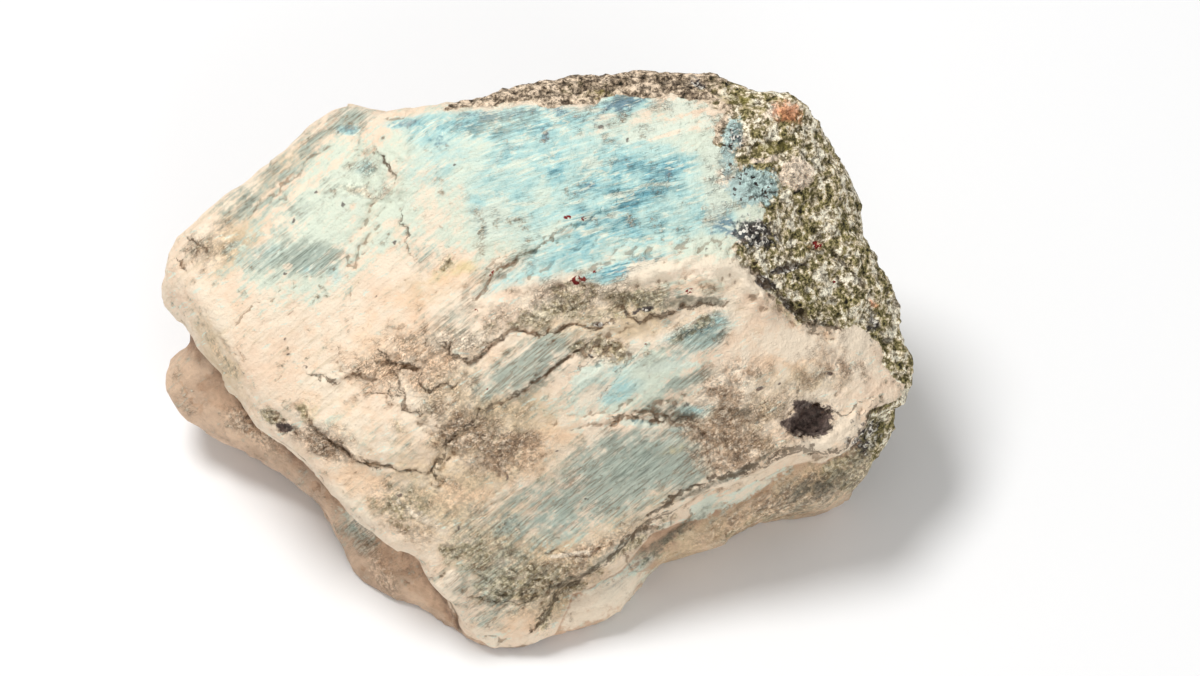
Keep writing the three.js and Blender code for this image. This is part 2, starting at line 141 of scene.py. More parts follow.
# Bumps, and pits below 0: (u, v), half-widths, turn in degrees, height, and the flat middle's share.
BUMPS = {
    "knob": ((42.5, 29.5), (3.2, 3), 0, 1.8, 0.2),
    "rust corner": ((39.5, 39.5), (3.5, 3), 0, 1.5, 0.2),
    "tip lip": ((-13.5, -36.5), (2.6, 3.2), 0, 1.4, 0.4),
    "tooth hollow": ((-27.5, 30.5), (5, 4.2), -50, -1.4, 0),
    "pocket": ((11.2, 0.9), (5.4, 2.9), -10, -1.3, 0.5),
    "purple pit": ((43.9, -10.2), (4.2, 2.8), 18, -3.4, 0.6),
    "pit bowl": ((45, -6), (9, 5), 5, -1.3, 0),
    "green pit": ((-40, -11.4), (2.6, 1.8), -30, -2, 0.4),
    "plate recess": ((22, -8.4), (6, 2.2), 8, -1, 0.2),
}

# ---- Finer relief, only here -------------------------------------------------------------------------
FINE_LEDGES = {
    "S crack": (2, [(-20.9, 24, 0), (-20.4, 21.3, 0.4), (-19.5, 19.2, 0.5), (-19.2, 15.6, 0)]),
    "wedge": (4, [
        (-18, 4.2, 0), (-15.4, 2.9, 0.5), (-12.5, 0.7, 0.8), (-10.1, -1, 0.9), (-7.8, 0.7, 0.7),
        (-5.9, 2, 0.4), (-4, 4.2, 0)
    ]),
    "wedge top": (3, [(-15.4, 5.8, 0), (-13, 7, 0.3), (-8.5, 7.7, 0.4), (-3.8, 8, 0.3), (-0.6, 8.9, 0)]),
    "block a": (3, [
        (-25.2, 1.2, 0), (-23.8, 0.4, 0.8), (-23.2, -0.9, 1), (-19.6, -0.9, 1), (-18.8, -1.4, 0.6),
        (-18.6, -2.1, 0)
    ]),
    "block b": (3, [
        (-22.3, -1.8, 0), (-21.6, -3.4, 0.6), (-21, -4.7, 0.6), (-20.4, -8.1, 0.5), (-17, -8.6, 0.5),
        (-14, -8.4, 0)
    ]),
    "block c": (3, [
        (-17.9, -2.1, 0), (-17.5, -4.7, 0.6), (-15.8, -5.6, 0.8), (-11.7, -4, 0.5), (-10, -3.4, 0)
    ]),
    "block d": (3, [
        (-32.3, 1.8, 0), (-31.5, -0.2, 0.4), (-29.9, -2.5, 0.6), (-25.6, -2.9, 0.6), (-23.7, -0.9, 0.4),
        (-24.1, 1.8, 0)
    ]),
    "split right": (3, [(9.2, 2.9, 0), (12, 3.9, 0.5), (16.8, 5.5, 0.5), (23.1, 7, 0.4), (27.1, 8.9, 0)]),
    "facet split": (3, [(4.1, -7.7, 0), (8.9, -4.5, 0.3), (13.6, -0.6, 0.4), (16.8, 1.8, 0)]),
    "tongue a": (3, [
        (21.2, -12, 0), (21.8, -11, 0.5), (21.2, -9.9, 0.7), (16.8, -9.6, 0.7), (10.4, -9.9, 0.5),
        (7, -11, 0)
    ]),
    "tongue b": (3, [
        (26.9, -13.2, 0), (27.2, -12, 0.6), (24.7, -11, 0.6), (21.8, -11.3, 0.5), (20.6, -12.6, 0)
    ]),
    "second fold": (4, [
        (19.2, 22.4, 0), (13.6, 19.7, 0.4), (7.3, 16.9, 0.5), (1.7, 13.7, 0.5), (-3, 10.2, 0.4),
        (-7, 7.4, 0)
    ]),
    "mint edge": (3, [(-1.6, 27.9, 0), (-2.2, 25.1, 0.4), (-1.6, 22.4, 0.4), (-0.9, 19.2, 0)]),
    "blue rib": (3, [
        (26.3, 29.2, 0), (18.4, 27, 0.5), (10.4, 25.1, 0.6), (5.7, 22.9, 0.4), (2.5, 20.3, 0)
    ]),
    "blue rib 2": (3, [(24.7, 26.4, 0), (18.4, 24, 0.4), (12, 22.7, 0.4), (8.1, 21.3, 0)]),
    "bevel edge": (4, [
        (-55.2, 12.9, 0), (-52.1, 16.9, 0.4), (-45, 23.2, 0.4), (-37, 30.3, 0.4), (-29.9, 37.8, 0)
    ]),
    "hollow edge": (3, [
        (-5.7, 8.9, 0), (-2.2, 10.2, 0.4), (4.1, 11.5, 0.6), (8.9, 12.1, 0.5), (12, 10.8, 0)
    ]),
    "flake left": (3, [(-10.1, -30.9, 0), (-5.4, -30.6, 0.4), (1.1, -30.9, 0.5), (3, -31.4, 0)]),
    "tip step": (3, [(1.7, -29.8, 0), (2.9, -34.6, 0.5), (2.2, -38.5, 0.5), (0.2, -42.5, 0)]),
}
# Where the face is broken up: ovals of (u, v, half-width, half-height, turn in degrees, strength).
ROUGH = [
    (-20, -1, 15, 8, 10, 0.75), (-9, -12, 12, 8, -20, 0.8), (5, 9, 15, 4.4, 8, 0.8),
    (-8, 3, 9, 5, 35, 0.35), (33, -11, 13, 10, 15, 0.7), (48, -2, 9, 8, 0, 0.5),
    (17, 26, 12, 8, 12, 0.35), (31, 30, 5, 10, 0, 0.6), (-14, -25, 18, 9, -20, 0.4),
    (0, -37, 13, 7, 5, 0.6), (-33, -13, 8, 4, -25, 0.7), (-52, 17, 6, 5, 40, 0.6),
    (-26, 29, 6, 7, -20, 0.5), (24, 4, 10, 5, 20, 0.4), (13, 38, 20, 4, 5, 0.35),
]
# Cracks: depth, half the width, and the line; partly real cracks, partly painted shadow at ledges, in
# recesses and under the rim.
CRACKS = {
    "terrace a": (0.6, 0.35, [(-25.2, 1.2), (-23.8, 0.4), (-23.2, -0.9), (-19.8, -0.9), (-19, -1.4)]),
    "terrace b": (0.5, 0.35, [(-22.3, -1.8), (-21.6, -3.4), (-21, -4.7), (-20.4, -8.1), (-17, -8.6)]),
    "terrace c": (0.55, 0.35, [(-17.9, -2.1), (-17.5, -4.7), (-15.8, -5.6), (-11.7, -4)]),
    "terrace d": (0.6, 0.35, [(-35.9, -2.5), (-32.2, -3.9), (-31.3, -3.7)]),
    "terrace e": (0.5, 0.35, [(-30.8, -2.1), (-28.1, -2.6)]),
    "terrace f": (0.5, 0.35, [(-27.3, -1.2), (-23.9, -1.2)]),
    "terrace g": (0.5, 0.35, [(-26.1, -5.3), (-24.5, -6.4), (-21.3, -6.2)]),
    "terrace h": (0.4, 0.32, [(-17.5, 5), (-17.4, 2.8), (-16.5, 1.5)]),
    "wedge right": (0.45, 0.32, [(-10, -1), (-6.5, 2), (-3.8, 3.7)]),
    "recess": (0.8, 0.4, [(11.6, -9.9), (16, -9.5), (21.3, -9.4), (26, -10.4)]),
    "slit": (0.9, 0.4, [(17.5, 5.9), (21, 7), (24, 7.8), (30, 8.6)]),
    "S crack": (0.42, 0.4, [(-20.7, 23.8), (-20.6, 21.3), (-19.6, 19.2), (-19.2, 15.6)]),
    "tooth": (0.48, 0.4, [(-24.4, 32.2), (-23.1, 30.5), (-21.7, 28.6)]),
    "fork left": (0.3, 0.32, [(-17.4, -10.4), (-13.5, -12.9)]),
    "fork right": (0.36, 0.4, [(-13.5, -12.9), (-10.8, -11), (-8.1, -8.9), (-4.6, -6.7)]),
    "fork down": (0.36, 0.4, [(-13.5, -12.9), (-14.1, -15.6), (-16, -18.3), (-15.4, -20.2)]),
    "crevice": (0.54, 0.4, [(9.2, 2.9), (5.7, -0.2), (1, -3.4), (-4.6, -6.6)]),
    "brow": (0.54, 0.4, [(-4, 4.3), (1, 3.3), (6.5, 4.6), (10.4, 4.4)]),
    "notch": (0.54, 0.4, [(13.9, 7.6), (17.2, 5.4), (21.5, 6.8), (26, 8.5)]),
    "wedge": (0.42, 0.32, [(-15.4, 2.6), (-12.5, 0.4), (-10.1, -1.3), (-7.8, 0.4)]),
    "lens foot": (0.48, 0.4, [
        (-35.5, -11), (-30.9, -14.9), (-27.2, -17), (-23.6, -18), (-18.8, -18.3), (-14.9, -18)
    ]),
    "crust a": (1.6, 0.5, [(33.4, 15), (37, 11.3), (40.5, 7.7), (44, 5.5), (49.2, 4.2)]),
    "crust b": (0.36, 0.4, [(31.8, 24), (35.8, 25.4), (40.5, 27)]),
    "crust c": (1.4, 0.5, [(38.2, 14), (41.3, 15), (44, 14.3)]),
    "crust d": (0.3, 0.32, [(29.1, 32.4), (33.4, 33), (38.2, 34.3)]),
    "crust e": (0.9, 0.4, [(46.9, 16.9), (50, 14), (53.2, 10.5)]),
    "lip": (0.42, 0.4, [(47.3, -8.8), (50, -9.4), (52.9, -7.5)]),
    "pit top": (0.3, 0.32, [(41.6, -7.2), (42, -4.7), (43.1, -3.4)]),
    "end a": (0.42, 0.4, [(-55.9, 19.7), (-53.8, 17.8), (-51.8, 16.5)]),
    "end b": (0.42, 0.4, [(-58.4, 15.9), (-57.1, 14.6), (-55.9, 13.9)]),
    "tip": (0.36, 0.32, [(-10.1, -38.2), (-5.5, -39.5), (-1.1, -39.3), (1.7, -38.2)]),
    "flake": (0.24, 0.32, [(1.1, -31.3), (5.4, -32.1), (9.8, -31.7), (13.1, -29.4)]),
    # Under the slab's rim: a groove, drawn as a painted shadow line.
    "rim right": (1.1, 0.5, [
        (17.6, -25.8), (24.6, -21.1), (27.5, -20.2), (31.4, -18.9), (36.5, -17.3), (39.3, -15.3),
        (42.2, -14.8), (47.2, -15.7), (50.1, -14.1), (53.7, -9.5), (56.3, -7.7)
    ]),
    "rim front": (1.3, 0.5, [
        (22.9, -24.2), (16.3, -27.6), (11.5, -32.6), (9, -34.8), (4.3, -36.7), (2.5, -40.7), (0.6, -43.5),
        (-0.5, -44.9)
    ]),
    "facet a": (0.15, 0.32, [(9.7, -6.9), (13.6, -2.5), (16.8, 0.7)]),
    "facet b": (0.15, 0.32, [(6.5, -2.5), (10.4, 0.7), (14.4, 2.9)]),
}

# ---- Where each colour lies --------------------------------------------------------------------------
# Ovals on the face: (u, v, half-width, half-height, turn in degrees, strength).
FACE_COLOURS = {
    "mint": [
        (-26, 27, 26, 12, 25, 0.75), (0, 27, 24, 15, 8, 1), (24, 24, 18, 17, 0, 1),
        (-38, 13, 15, 8, 15, 0.5), (4, -26, 14, 8, 10, 0.35), (15, -4, 14, 6, 25, 0.9),
        (16.8, -17.2, 12, 7, 10, 0.4), (-30, -12, 10, 4, -20, 0.35),
    ],
    "blue": [
        # The whole upper right.
        (9, 29, 24, 12, 5, 0.28), (14, 20, 18, 8, 10, 0.3),
        # Its streaky heart.
        (15.5, 27, 10, 7.5, 12, 0.3), (14, 29.4, 4, 1.8, 14, 0.5), (21.5, 29.5, 5, 2.6, 25, 0.6),
        (8.6, 27.2, 3.2, 1.1, 28, 0.5), (3.7, 29.4, 1.7, 3.6, -15, 0.45), (18.4, 24.8, 9.8, 1.6, 10, 0.4),
        (26.1, 22, 3, 3, 0, 0.2), (14.4, 19.7, 8.7, 2.8, -4, 0.25), (29.8, 21.3, 3.2, 2.5, 20, 0.4),
        # Turquoise below it.
        (3.3, 15.6, 9.5, 3.8, 24, 0.35), (-5.4, 11.3, 7.1, 1.9, 24, 0.25),
        (14.9, 13.9, 7.9, 1.6, 14, 0.7),
        # Along the crust.
        (13.9, 40.1, 6, 2.2, 8, 0.65), (1.7, 37.8, 7.9, 2.8, 5, 0.55), (-7, 37.1, 7, 2.8, 10, 0.6),
        (-14.1, 36.2, 7.9, 3.2, 0, 0.5),
        # Top left corner.
        (-21.5, 37.3, 3.5, 1.1, 0, 0.5), (-29.9, 36.2, 2.6, 1.1, 0, 0.45),
        (-29.1, 38.7, 4.1, 1.6, 0, 0.2), (-27.1, 30.2, 2.7, 2.4, 40, 0.2), (-16.5, 30.3, 7, 6.3, 0, 0.18),
        (-6.2, 24, 6.6, 6.6, 0, 0.2), (-2, 32, 12, 5, 5, 0.25),
        # Left plateau.
        (-35.1, 15.6, 4.7, 2.8, 15, 0.3), (-43.1, 15.8, 6, 2.7, 20, 0.25),
        (-31.5, 12.9, 2.5, 2.2, 60, 0.2),
        # The facets right of the middle.
        (13, -5.6, 6, 2.4, 15, 0.36), (24, 3.8, 6, 1.4, 15, 0.35), (12, -2.1, 8, 3.2, 30, 0.2),
        (28.5, 4.2, 5, 2.8, 30, 0.28), (23.9, 0.7, 6.3, 2.1, 35, 0.25),
        # The plate.
        (18, -15.2, 11.1, 6, 10, 0.16), (25.5, -8.8, 4.1, 1.4, 0, 0.4),
        # In front.
        (1.7, -26.7, 7.9, 4, 10, 0.15), (-8.5, -42.5, 3.2, 2.4, 0, 0.15),
    ],
    "indigo": [
        (14.5, 40.3, 5.5, 2, 8, 0.9), (10, 37.5, 6, 2, 8, 0.4), (-6.5, 38.2, 8, 2, 5, 0.8),
        (3.5, 39, 4, 2, 0, 0.6), (2, 35.5, 1.5, 3, -15, 0.4), (-14.5, 34.5, 3, 2, 30, 0.4),
        (-21, 37.2, 4, 1.2, 0, 0.5), (-29.9, 36.2, 3, 1.2, 0, 0.5), (8.2, 26.8, 3, 0.9, 28, 0.6),
        (22.6, 30, 4, 1.2, 22, 0.6), (18, 27.6, 4, 0.8, 15, 0.5), (30, 20.8, 4.4, 2.4, -30, 0.9),
        (29.5, 24.5, 2, 3, 0, 0.5), (26, -11, 4, 2, 20, 0.4), (15, 14, 6, 1, 14, 0.4),
    ],
    "peach": [
        (-37, -1, 20, 12, 25, 0.2), (-50, 6, 8, 9, -30, 0.25), (-18, 10.5, 12.7, 6.3, 20, 0.4),
        (-12, 14, 4.7, 3.2, 20, 0.3), (-17, 11, 6, 3, 20, 0.2), (-21.2, 1, 12, 6.3, 10, 0.6),
        (-27.5, -10.1, 14.2, 4.7, -15, 0.4), (28, 11, 14.2, 2.6, 0, 0.4), (42.1, 1.8, 14.2, 7.1, 0, 0.5),
        (50, -11.6, 9.5, 4, 15, 0.5), (-19, -3, 10, 5, 10, 0.4), (1.7, -13.2, 8, 3, 25, 0.7),
        (-3, -18, 8, 4, 0, 0.4), (-27.5, -19.6, 9.5, 4.7, -35, 0.75), (-11, -22, 9, 5, 0, 0.5),
        (-2.2, -42.5, 9.5, 4, 0, 0.5), (-28, 26.4, 3.6, 1.3, -20, 0.4), (-26, 21, 2.4, 6.3, -25, 0.3),
        (5.7, -31.4, 9.5, 1.9, 10, 0.3),
    ],
    "yellow": [
        (-11.4, 14, 3.6, 1.9, 20, 0.45), (-14.9, 12.9, 4.7, 2.2, 20, 0.3),
        (22.6, -15.1, 3.2, 1.5, 20, 0.4), (-35.8, -9.3, 2.2, 2.8, -10, 0.5),
        (-42.1, -9.1, 2.2, 1.6, 0, 0.4), (41.3, 7, 6.3, 2, -15, 0.5), (-7.8, -38.5, 4.7, 3.2, 0, 0.25),
    ],
    "beige": [
        (-6, -12, 16, 12, -10, 0.8), (13.6, -0.8, 3, 1.4, 20, 0.7), (-14, -24, 22, 10, -25, 0.7),
        (0, -36, 16, 10, 0, 0.8), (32, -12, 14, 10, 10, 0.6), (12, 6, 18, 6, 8, 0.7),
        (44, -3, 9, 4, 0, 0.5), (14, -27, 16, 4, 30, 0.6), (-48, 18, 10, 6, 40, 0.7),
        (-40, 30, 12, 3, 42, 0.6), (-29, 26.6, 3, 1.6, -20, 0.9), (-50, -1, 3.5, 12, 28, 0.8),
        (-17, 10.5, 8, 4, 20, 0.5), (-30, -10, 10, 4, -20, 0.3), (-12, 1, 10, 7, 20, 0.3),
    ],
    "grey": [
        (-39, 23.5, 12, 4.4, 32, 0.32), (-41.8, 28.5, 18, 3.6, 42, 0.65), (-29.1, 38.2, 5, 2.4, 10, 0.6),
        (-36, 15.5, 8, 3.2, 12, 0.75), (-41, 16, 12, 6, 12, 0.35), (-17.3, 16.1, 3, 4.7, 0, 0.35),
        (-5.4, 13.7, 9.5, 2.2, 38, 0.6), (-0.6, -1.2, 13, 4.4, 32, 0.95), (10.4, -3.6, 9, 1.6, 30, 0.3),
        (15, -18.4, 15, 8.6, 14, 1), (24, -16, 6, 5, 20, 0.6), (-2.2, -25.9, 15, 7, 5, 0.6),
        (-5.4, -35.4, 13, 6, 0, 0.6), (-24.4, -21.1, 9, 7, -30, 0.25), (-7, -40.9, 6.3, 4.7, 0, 0.4),
        (-5.4, 37.4, 10, 2.8, 5, 0.55), (13, 41, 8, 1.6, 8, 0.4), (23.1, -8.8, 10, 2.6, 0, 0.6),
        (24.7, 2.4, 9, 3, 25, 0.6), (24.5, -3.8, 6, 1.8, 20, 0.8), (20, 9, 12, 1.8, 5, 0.5),
        (-22, -13.2, 5.5, 2.8, -20, 0.4), (-13.5, 4.8, 7, 4, 35, 0.5), (36, 26, 4, 3, 0, 0.5),
    ],
    "shade": [
        (-50, 21.5, 9, 2.6, 42, 0.34), (-50.3, 1, 12, 1.2, -60, 0.4), (-29, 26.6, 3.4, 1.3, -20, 0.36),
        (25.5, 8, 8, 1.4, 4, 1), (16.6, 8.8, 4.4, 1.5, -5, 0.4), (54, -13, 5, 5, 20, 0.7),
        (23, -9.4, 5, 1.2, -3, 1), (18, -8.7, 5, 0.9, 8, 0.7), (32, -9, 5, 1.5, 0, 0.5),
        (24.5, 8.4, 4, 1, 0, 0.8), (3.5, 4.2, 6, 0.8, 5, 0.6), (0, -4.6, 9, 0.9, 32, 0.6),
        (8, 0.2, 4, 0.9, -30, 0.6), (29.5, 3.6, 3, 1.4, 40, 0.5), (-19, 3, 5, 0.7, 10, 0.4),
        (29, -20, 12, 1, 25, 0.75), (13, -31, 12, 1.1, 42, 0.7), (5, -36.2, 5, 1.1, 25, 0.6),
        (46, -15, 6, 0.9, 10, 0.4),
    ],
    # Brown grit; the oval at (-33.1, -14.3) is the shelf under the lens, brown with painted shade under
    # its undercut.
    "brown": [
        (-9.5, -13, 9, 6, -30, 0.6), (-12, -8, 4, 3, 0, 0.35), (-3, -15.5, 9, 6, 0, 0.5),
        (30.6, -13.2, 7.4, 8, 20, 0.85), (31, -4, 7, 5, 20, 0.65), (49.2, -1.8, 6, 2.2, 5, 0.5),
        (42.1, -4.2, 5, 2, 10, 0.4), (-33.1, -14.3, 6.3, 2.8, -25, 1), (-54, 17, 4, 3.5, 40, 0.2),
        (4.1, 8.2, 11.1, 3.2, 8, 0.3), (11.2, 1, 5.8, 2.9, -10, 0.7), (4.1, -35.4, 10, 5, 10, 0.5),
        (10.4, -30.2, 10, 2.6, 30, 0.5), (-20, -27, 9, 4, -35, 0.4), (-5.4, 40.6, 9.5, 1.2, 5, 0.5),
    ],
    "olive": [
        (4, 8, 9.5, 2.6, 18, 0.75), (6, 10.8, 5, 2, 10, 0.6), (16.8, 8.9, 5.6, 2.1, -5, 1),
        (11, 6.4, 6, 1.4, 0, 0.5), (-7, 3.4, 4, 2, 40, 0.25), (10.5, 1, 5.4, 2.6, -10, 0.9),
        (24.7, 4.2, 7.9, 1.3, 28, 0.5), (-42.1, -9.3, 2.5, 1.6, -20, 0.8),
        (-36.3, -8.8, 1.9, 2.5, 0, 0.5), (1, -36.2, 12, 5, 10, 0.6), (-9, -31, 9, 4, 0, 0.55),
        (-21.2, -23.9, 8, 4, -20, 0.55), (16.8, -29.4, 9.5, 1.6, 35, 0.6),
        (-21.5, -10.8, 1.9, 1.6, 0, 0.4), (-14.1, 15, 2.2, 1.9, 60, 0.35),
        (-16.5, -19.6, 2.2, 1.6, 0, 0.4), (1.7, -42.5, 2, 3.6, -20, 0.6), (-5, -37, 7, 4, 0, 0.4),
        (42.1, 6.6, 7, 2.5, -15, 0.45), (4, -20, 5, 3, 0, 0.3),
    ],
    "foam": [
        (20.2, 35.7, 11.1, 1.8, 14, 0.9), (23, 39.5, 5, 2.6, 0, 0.7), (29, 33, 3, 5, 0, 0.7),
        (15, 26, 11, 0.7, 10, 0.8), (9.2, 30.4, 1.6, 2.6, 0, 0.6), (28.5, 26, 3.4, 7, 0, 0.85),
        (9, 30, 4, 2, 20, 0.5), (12, 22, 7, 0.6, 5, 0.6), (17, 17.6, 8, 0.7, -8, 0.6),
        (-6, 22.5, 4.4, 5, 0, 0.75), (-7, 30, 9, 3, 0, 0.4), (-38, 23, 12, 3, 35, 0.3),
        (33, 22, 3, 1.6, 0, 0.6), (8, -7, 4, 1.8, 30, 0.7), (9, -2.6, 6, 1.8, 35, 0.7),
        (21, -1.5, 8, 1.2, 10, 0.8), (16.3, -10.8, 5.5, 0.8, 2, 1), (23.3, -11.6, 3.2, 0.8, 0, 1),
        (35, -21.4, 9, 1.5, 28, 1), (27, -23.6, 4, 1.2, 30, 0.9),
    ],
    "cream": [
        (22, 13.5, 12, 3, 8, 1), (33.5, 12.8, 6.5, 3.6, -25, 1), (21, 35.4, 6, 0.7, 20, 0.6),
        (30.5, 28, 2.4, 2.4, 0, 0.8), (-16, 30, 3, 5, 0, 0.4), (-18, 26, 9, 8, 0, 0.3),
        (-12, 22, 3, 8, 0, 0.4), (47.7, -12.4, 8.4, 2.8, 22, 0.9), (41, 2, 10, 4.4, -5, 0.8),
        (52, 2.6, 5, 3, -20, 0.8), (9.5, -5.5, 6, 2.4, 35, 0.7), (-15, 2.6, 3, 3, 20, 0.6),
        (1.7, -14, 3.5, 1.6, 25, 0.4), (-13.1, -35.7, 2, 3, 10, 0.8), (-22.5, 29.5, 1.9, 4, -10, 0.5),
        (-39.4, 14.3, 1.4, 0.8, 20, 0.8), (-18, -25.9, 9.5, 1.3, -35, 0.5),
        (5.7, -31.6, 5.7, 0.6, 5, 0.8), (-27, -10.5, 9, 4.4, -20, 0.5), (-17, 20, 3, 8, 0, 0.35),
        (-9.5, 2.6, 5, 2.2, 25, 0.7),
    ],
}
# On the lower body, seen past the slab's rim.
BODY_COLOURS = {
    "mint": [(33, -21, 12, 2.6, 30, 0.5), (12, -38, 10, 6, 35, 0.6)],
    "blue": [
        (36, -20, 6, 1.2, 30, 0.25), (28, -24, 6, 1, 30, 0.2), (12, -37, 5, 4, 20, 0.2),
        (17, -33, 5, 2, 30, 0.2),
    ],
    "peach": [(6, -42, 8, 4, 20, 0.5), (12, -40, 6, 3, 20, 0.4), (-60, -2, 7, 7, 0, 0.3)],
    "beige": [(44, -22, 16, 6, 28, 0.8), (26, -30, 12, 4, 30, 0.7)],
    "grey": [
        (34, -24, 11, 1.6, 28, 0.3), (-29, -28, 6, 5, -45, 0.5), (-40, -20, 6, 3, -40, 0.2),
        (44, -23, 10, 4, 25, 0.5),
    ],
    "shade": [
        (54, -12, 4, 5, 0, 0.7), (46, -21, 12, 4, 28, 0.6), (22, -28.5, 10, 2, 38, 0.6),
        (3, -40, 6, 1.2, 55, 0.5),
    ],
    "brown": [
        (-46, -12, 8, 3, -35, 0.7), (-25, -35, 9, 3.5, -58, 0.4), (30, -28, 12, 3, 30, 0.4),
        (0, -44, 4, 5, 10, 0.3), (44, -22, 12, 5, 28, 0.6),
    ],
    "olive": [
        (52, -17, 9, 6, 30, 0.9), (36, -27.5, 10, 2.5, 28, 0.4), (57, -7, 5, 8, 0, 0.7),
        (20, -31, 8, 1.6, 32, 0.5),
    ],
    "foam": [
        (34, -20.6, 10, 2.8, 28, 1), (27, -24, 5, 2, 30, 1), (10, -37, 5, 3, 33, 0.5),
        (-29, -26.6, 5, 2.6, -42, 0.8),
    ],
    "cream": [
        (34, -20.8, 10, 2.4, 28, 0.7), (-28.5, -26.6, 5, 2.6, -42, 0.8), (12, -38.5, 9, 4, 33, 1),
        (5, -42.5, 5, 3, 20, 0.6),
    ],
}
# Over the basalt crust as well.
OVER_COLOURS = {
    "slate": [
        (34.6, 26.8, 6.4, 4.2, 0, 1), (31.4, 35, 2.6, 4.6, -10, 0.75), (30.5, 31, 1.6, 2.5, 0, 0.6),
        (34, 19, 5, 3, 0, 0.45),
    ],
    # Dark patches. Those along the brow, the notch and the slit under the cream ridge, in the plate's
    # recess and in the gap between the cream ridge and the crust are painted shade; the others lie on the
    # crust.
    "dark": [
        (32.2, 35, 1.8, 3.2, 0, 0.6), (35, 19.2, 5.4, 3.4, -20, 0.85), (39.7, 13.9, 4, 1, 10, 0.8),
        (36.6, 11.6, 2.6, 1.5, -45, 0.9), (40.4, 7.6, 3, 0.8, -45, 0.7), (24.7, -7.7, 4.4, 0.9, 0, 0.35),
        (17, 7.4, 4.4, 0.7, 12, 0.7), (12, 5.2, 5, 0.6, 5, 0.5), (9, 0.2, 3.5, 0.8, -35, 0.6),
        (54.8, 4.2, 2.2, 4.7, 20, 0.5), (26.3, 43.4, 2.5, 1.1, -30, 0.6), (44.5, 8.2, 4.7, 1.1, -20, 0.4),
        (50, 22, 2.2, 8, 20, 0.4), (22.6, 7.6, 2.2, 0.7, 10, 0.5), (53, -13, 5, 4, 20, 0.6),
    ],
    "pit": [
        (-39.7, -11.3, 2.2, 1.3, -10, 1), (43.8, -10.1, 5.6, 3.8, 14, 1), (40.8, -11, 2.4, 1.4, 0, 0.8),
        (42.4, -7.6, 1.4, 1.2, 0, 0.6), (46, -11.6, 2, 1.4, 0, 0.6),
    ],
    "pale": [
        (24.7, 13.2, 7, 1.8, 8, 0.6), (41.6, 29, 3.4, 3.3, 0, 1.2), (36.5, 31.2, 4, 0.9, 12, 0.7),
        (37.5, 38.8, 3.4, 1.4, 22, 0.6), (40.5, 22.5, 3, 1, 20, 0.4),
    ],
    "rust": [
        (40.2, 38.8, 3.6, 2.8, 0, 1), (44.7, 17.8, 2, 1.5, 0, 0.45), (54, 8.5, 2, 1, -40, 0.7),
        (47, 12, 3, 2, 0, 0.25),
    ],
    "lichen": [
        (38, 33.2, 4.8, 1.2, 0, 0.9), (43.6, 25, 2.2, 3.5, 0, 0.55), (44, 9, 5, 2.4, -20, 0.5),
        (49, 22, 3, 6, 20, 0.5), (10, 41.7, 5, 1.4, 5, 0.6), (28, 42, 5, 1.2, -25, 0.6),
        (33, 40.6, 4, 1.4, -10, 0.9), (50, 6, 4, 2, -30, 0.6),
    ],
    "dots": [
        (-30.3, 24, 0.5, 0.4, 0, 1), (-38.2, 21.4, 0.4, 0.4, 0, 1), (-22, 18.3, 0.5, 0.4, 0, 1),
        (-39.4, 13.1, 0.4, 0.4, 0, 1), (-39.7, 2.9, 0.45, 0.4, 0, 1), (-38.8, 0.4, 0.4, 0.35, 0, 1),
        (-36.2, -1.7, 0.4, 0.4, 0, 1), (-34.6, 26.1, 0.35, 0.3, 0, 1), (-25.1, 9.3, 0.4, 0.35, 0, 0.9),
        (-12.6, 30.4, 0.35, 0.35, 0, 0.9), (10.6, 36.1, 0.5, 0.4, 0, 1), (14.6, 34.2, 0.4, 0.4, 0, 0.9),
        (27.4, 16.9, 0.4, 0.4, 0, 1), (-21.4, -22.1, 0.6, 0.5, 0, 1), (-4.2, -19.2, 0.4, 0.4, 0, 0.9),
        (3.4, -14.8, 0.5, 0.3, 30, 0.9), (35.8, -5.1, 0.7, 0.5, 0, 1), (39, -4.4, 0.4, 0.4, 0, 1),
        (31.7, -17.4, 0.4, 0.4, 0, 0.9), (-12.1, -27.4, 0.4, 0.5, 0, 0.9), (8.2, -22.8, 0.4, 0.4, 0, 0.8),
        (47, -2.6, 0.6, 0.4, 0, 0.9),
    ],
    "red": [
        (-6.6, 13.3, 0.8, 0.4, 30, 1), (5.3, 21.8, 0.5, 0.4, 0, 1), (8, 21.9, 0.8, 0.3, -20, 1),
        (6.9, 12.1, 1.5, 0.9, 20, 1), (10, 13.4, 1, 0.4, 30, 0.8), (24.7, 10.5, 1, 0.5, 20, 1),
        (-8.9, 7, 0.4, 0.4, 0, 0.9), (17.5, 1.8, 0.6, 0.4, 0, 0.9), (-7, -5.3, 0.5, 0.4, 0, 0.8),
        (45, 17.8, 1, 0.8, 0, 1), (-15.7, -2, 0.4, 0.3, 0, 0.8), (47.7, 12, 0.5, 0.3, 0, 0.9),
    ],
}


# ---- Small tools -------------------------------------------------------------------------------------
def to_show(points):
    return (points / MM - SHOW_ORIGIN) @ SHOW_WAYS.T


def from_show(points):
    return (points @ SHOW_WAYS + SHOW_ORIGIN) * MM


def ease(x):
    """1 at 0, easing down to 0 at 1 and beyond."""
    return np.clip(1 - x * x, 0, 1) ** 2


def smooth_step(x, low, high):
    t = np.clip((x - low) / (high - low), 0, 1)
    return t * t * (3 - 2 * t)


def scattered(cells, seed):
    """Three numbers from 0 to 1 for each cell of a grid, always the same for the same cell."""
    h = (cells * (73856093, 19349663, 83492791)).sum(1) + seed * 2654435761
    h = ((h ^ (h >> 15)) * 2246822519) & 0xFFFFFFFF
    h = ((h ^ (h >> 13)) * 3266489917) & 0xFFFFFFFF
    h ^= h >> 16
    return np.stack([h & 1023, (h >> 10) & 1023, (h >> 20) & 1023], 1) / 1023


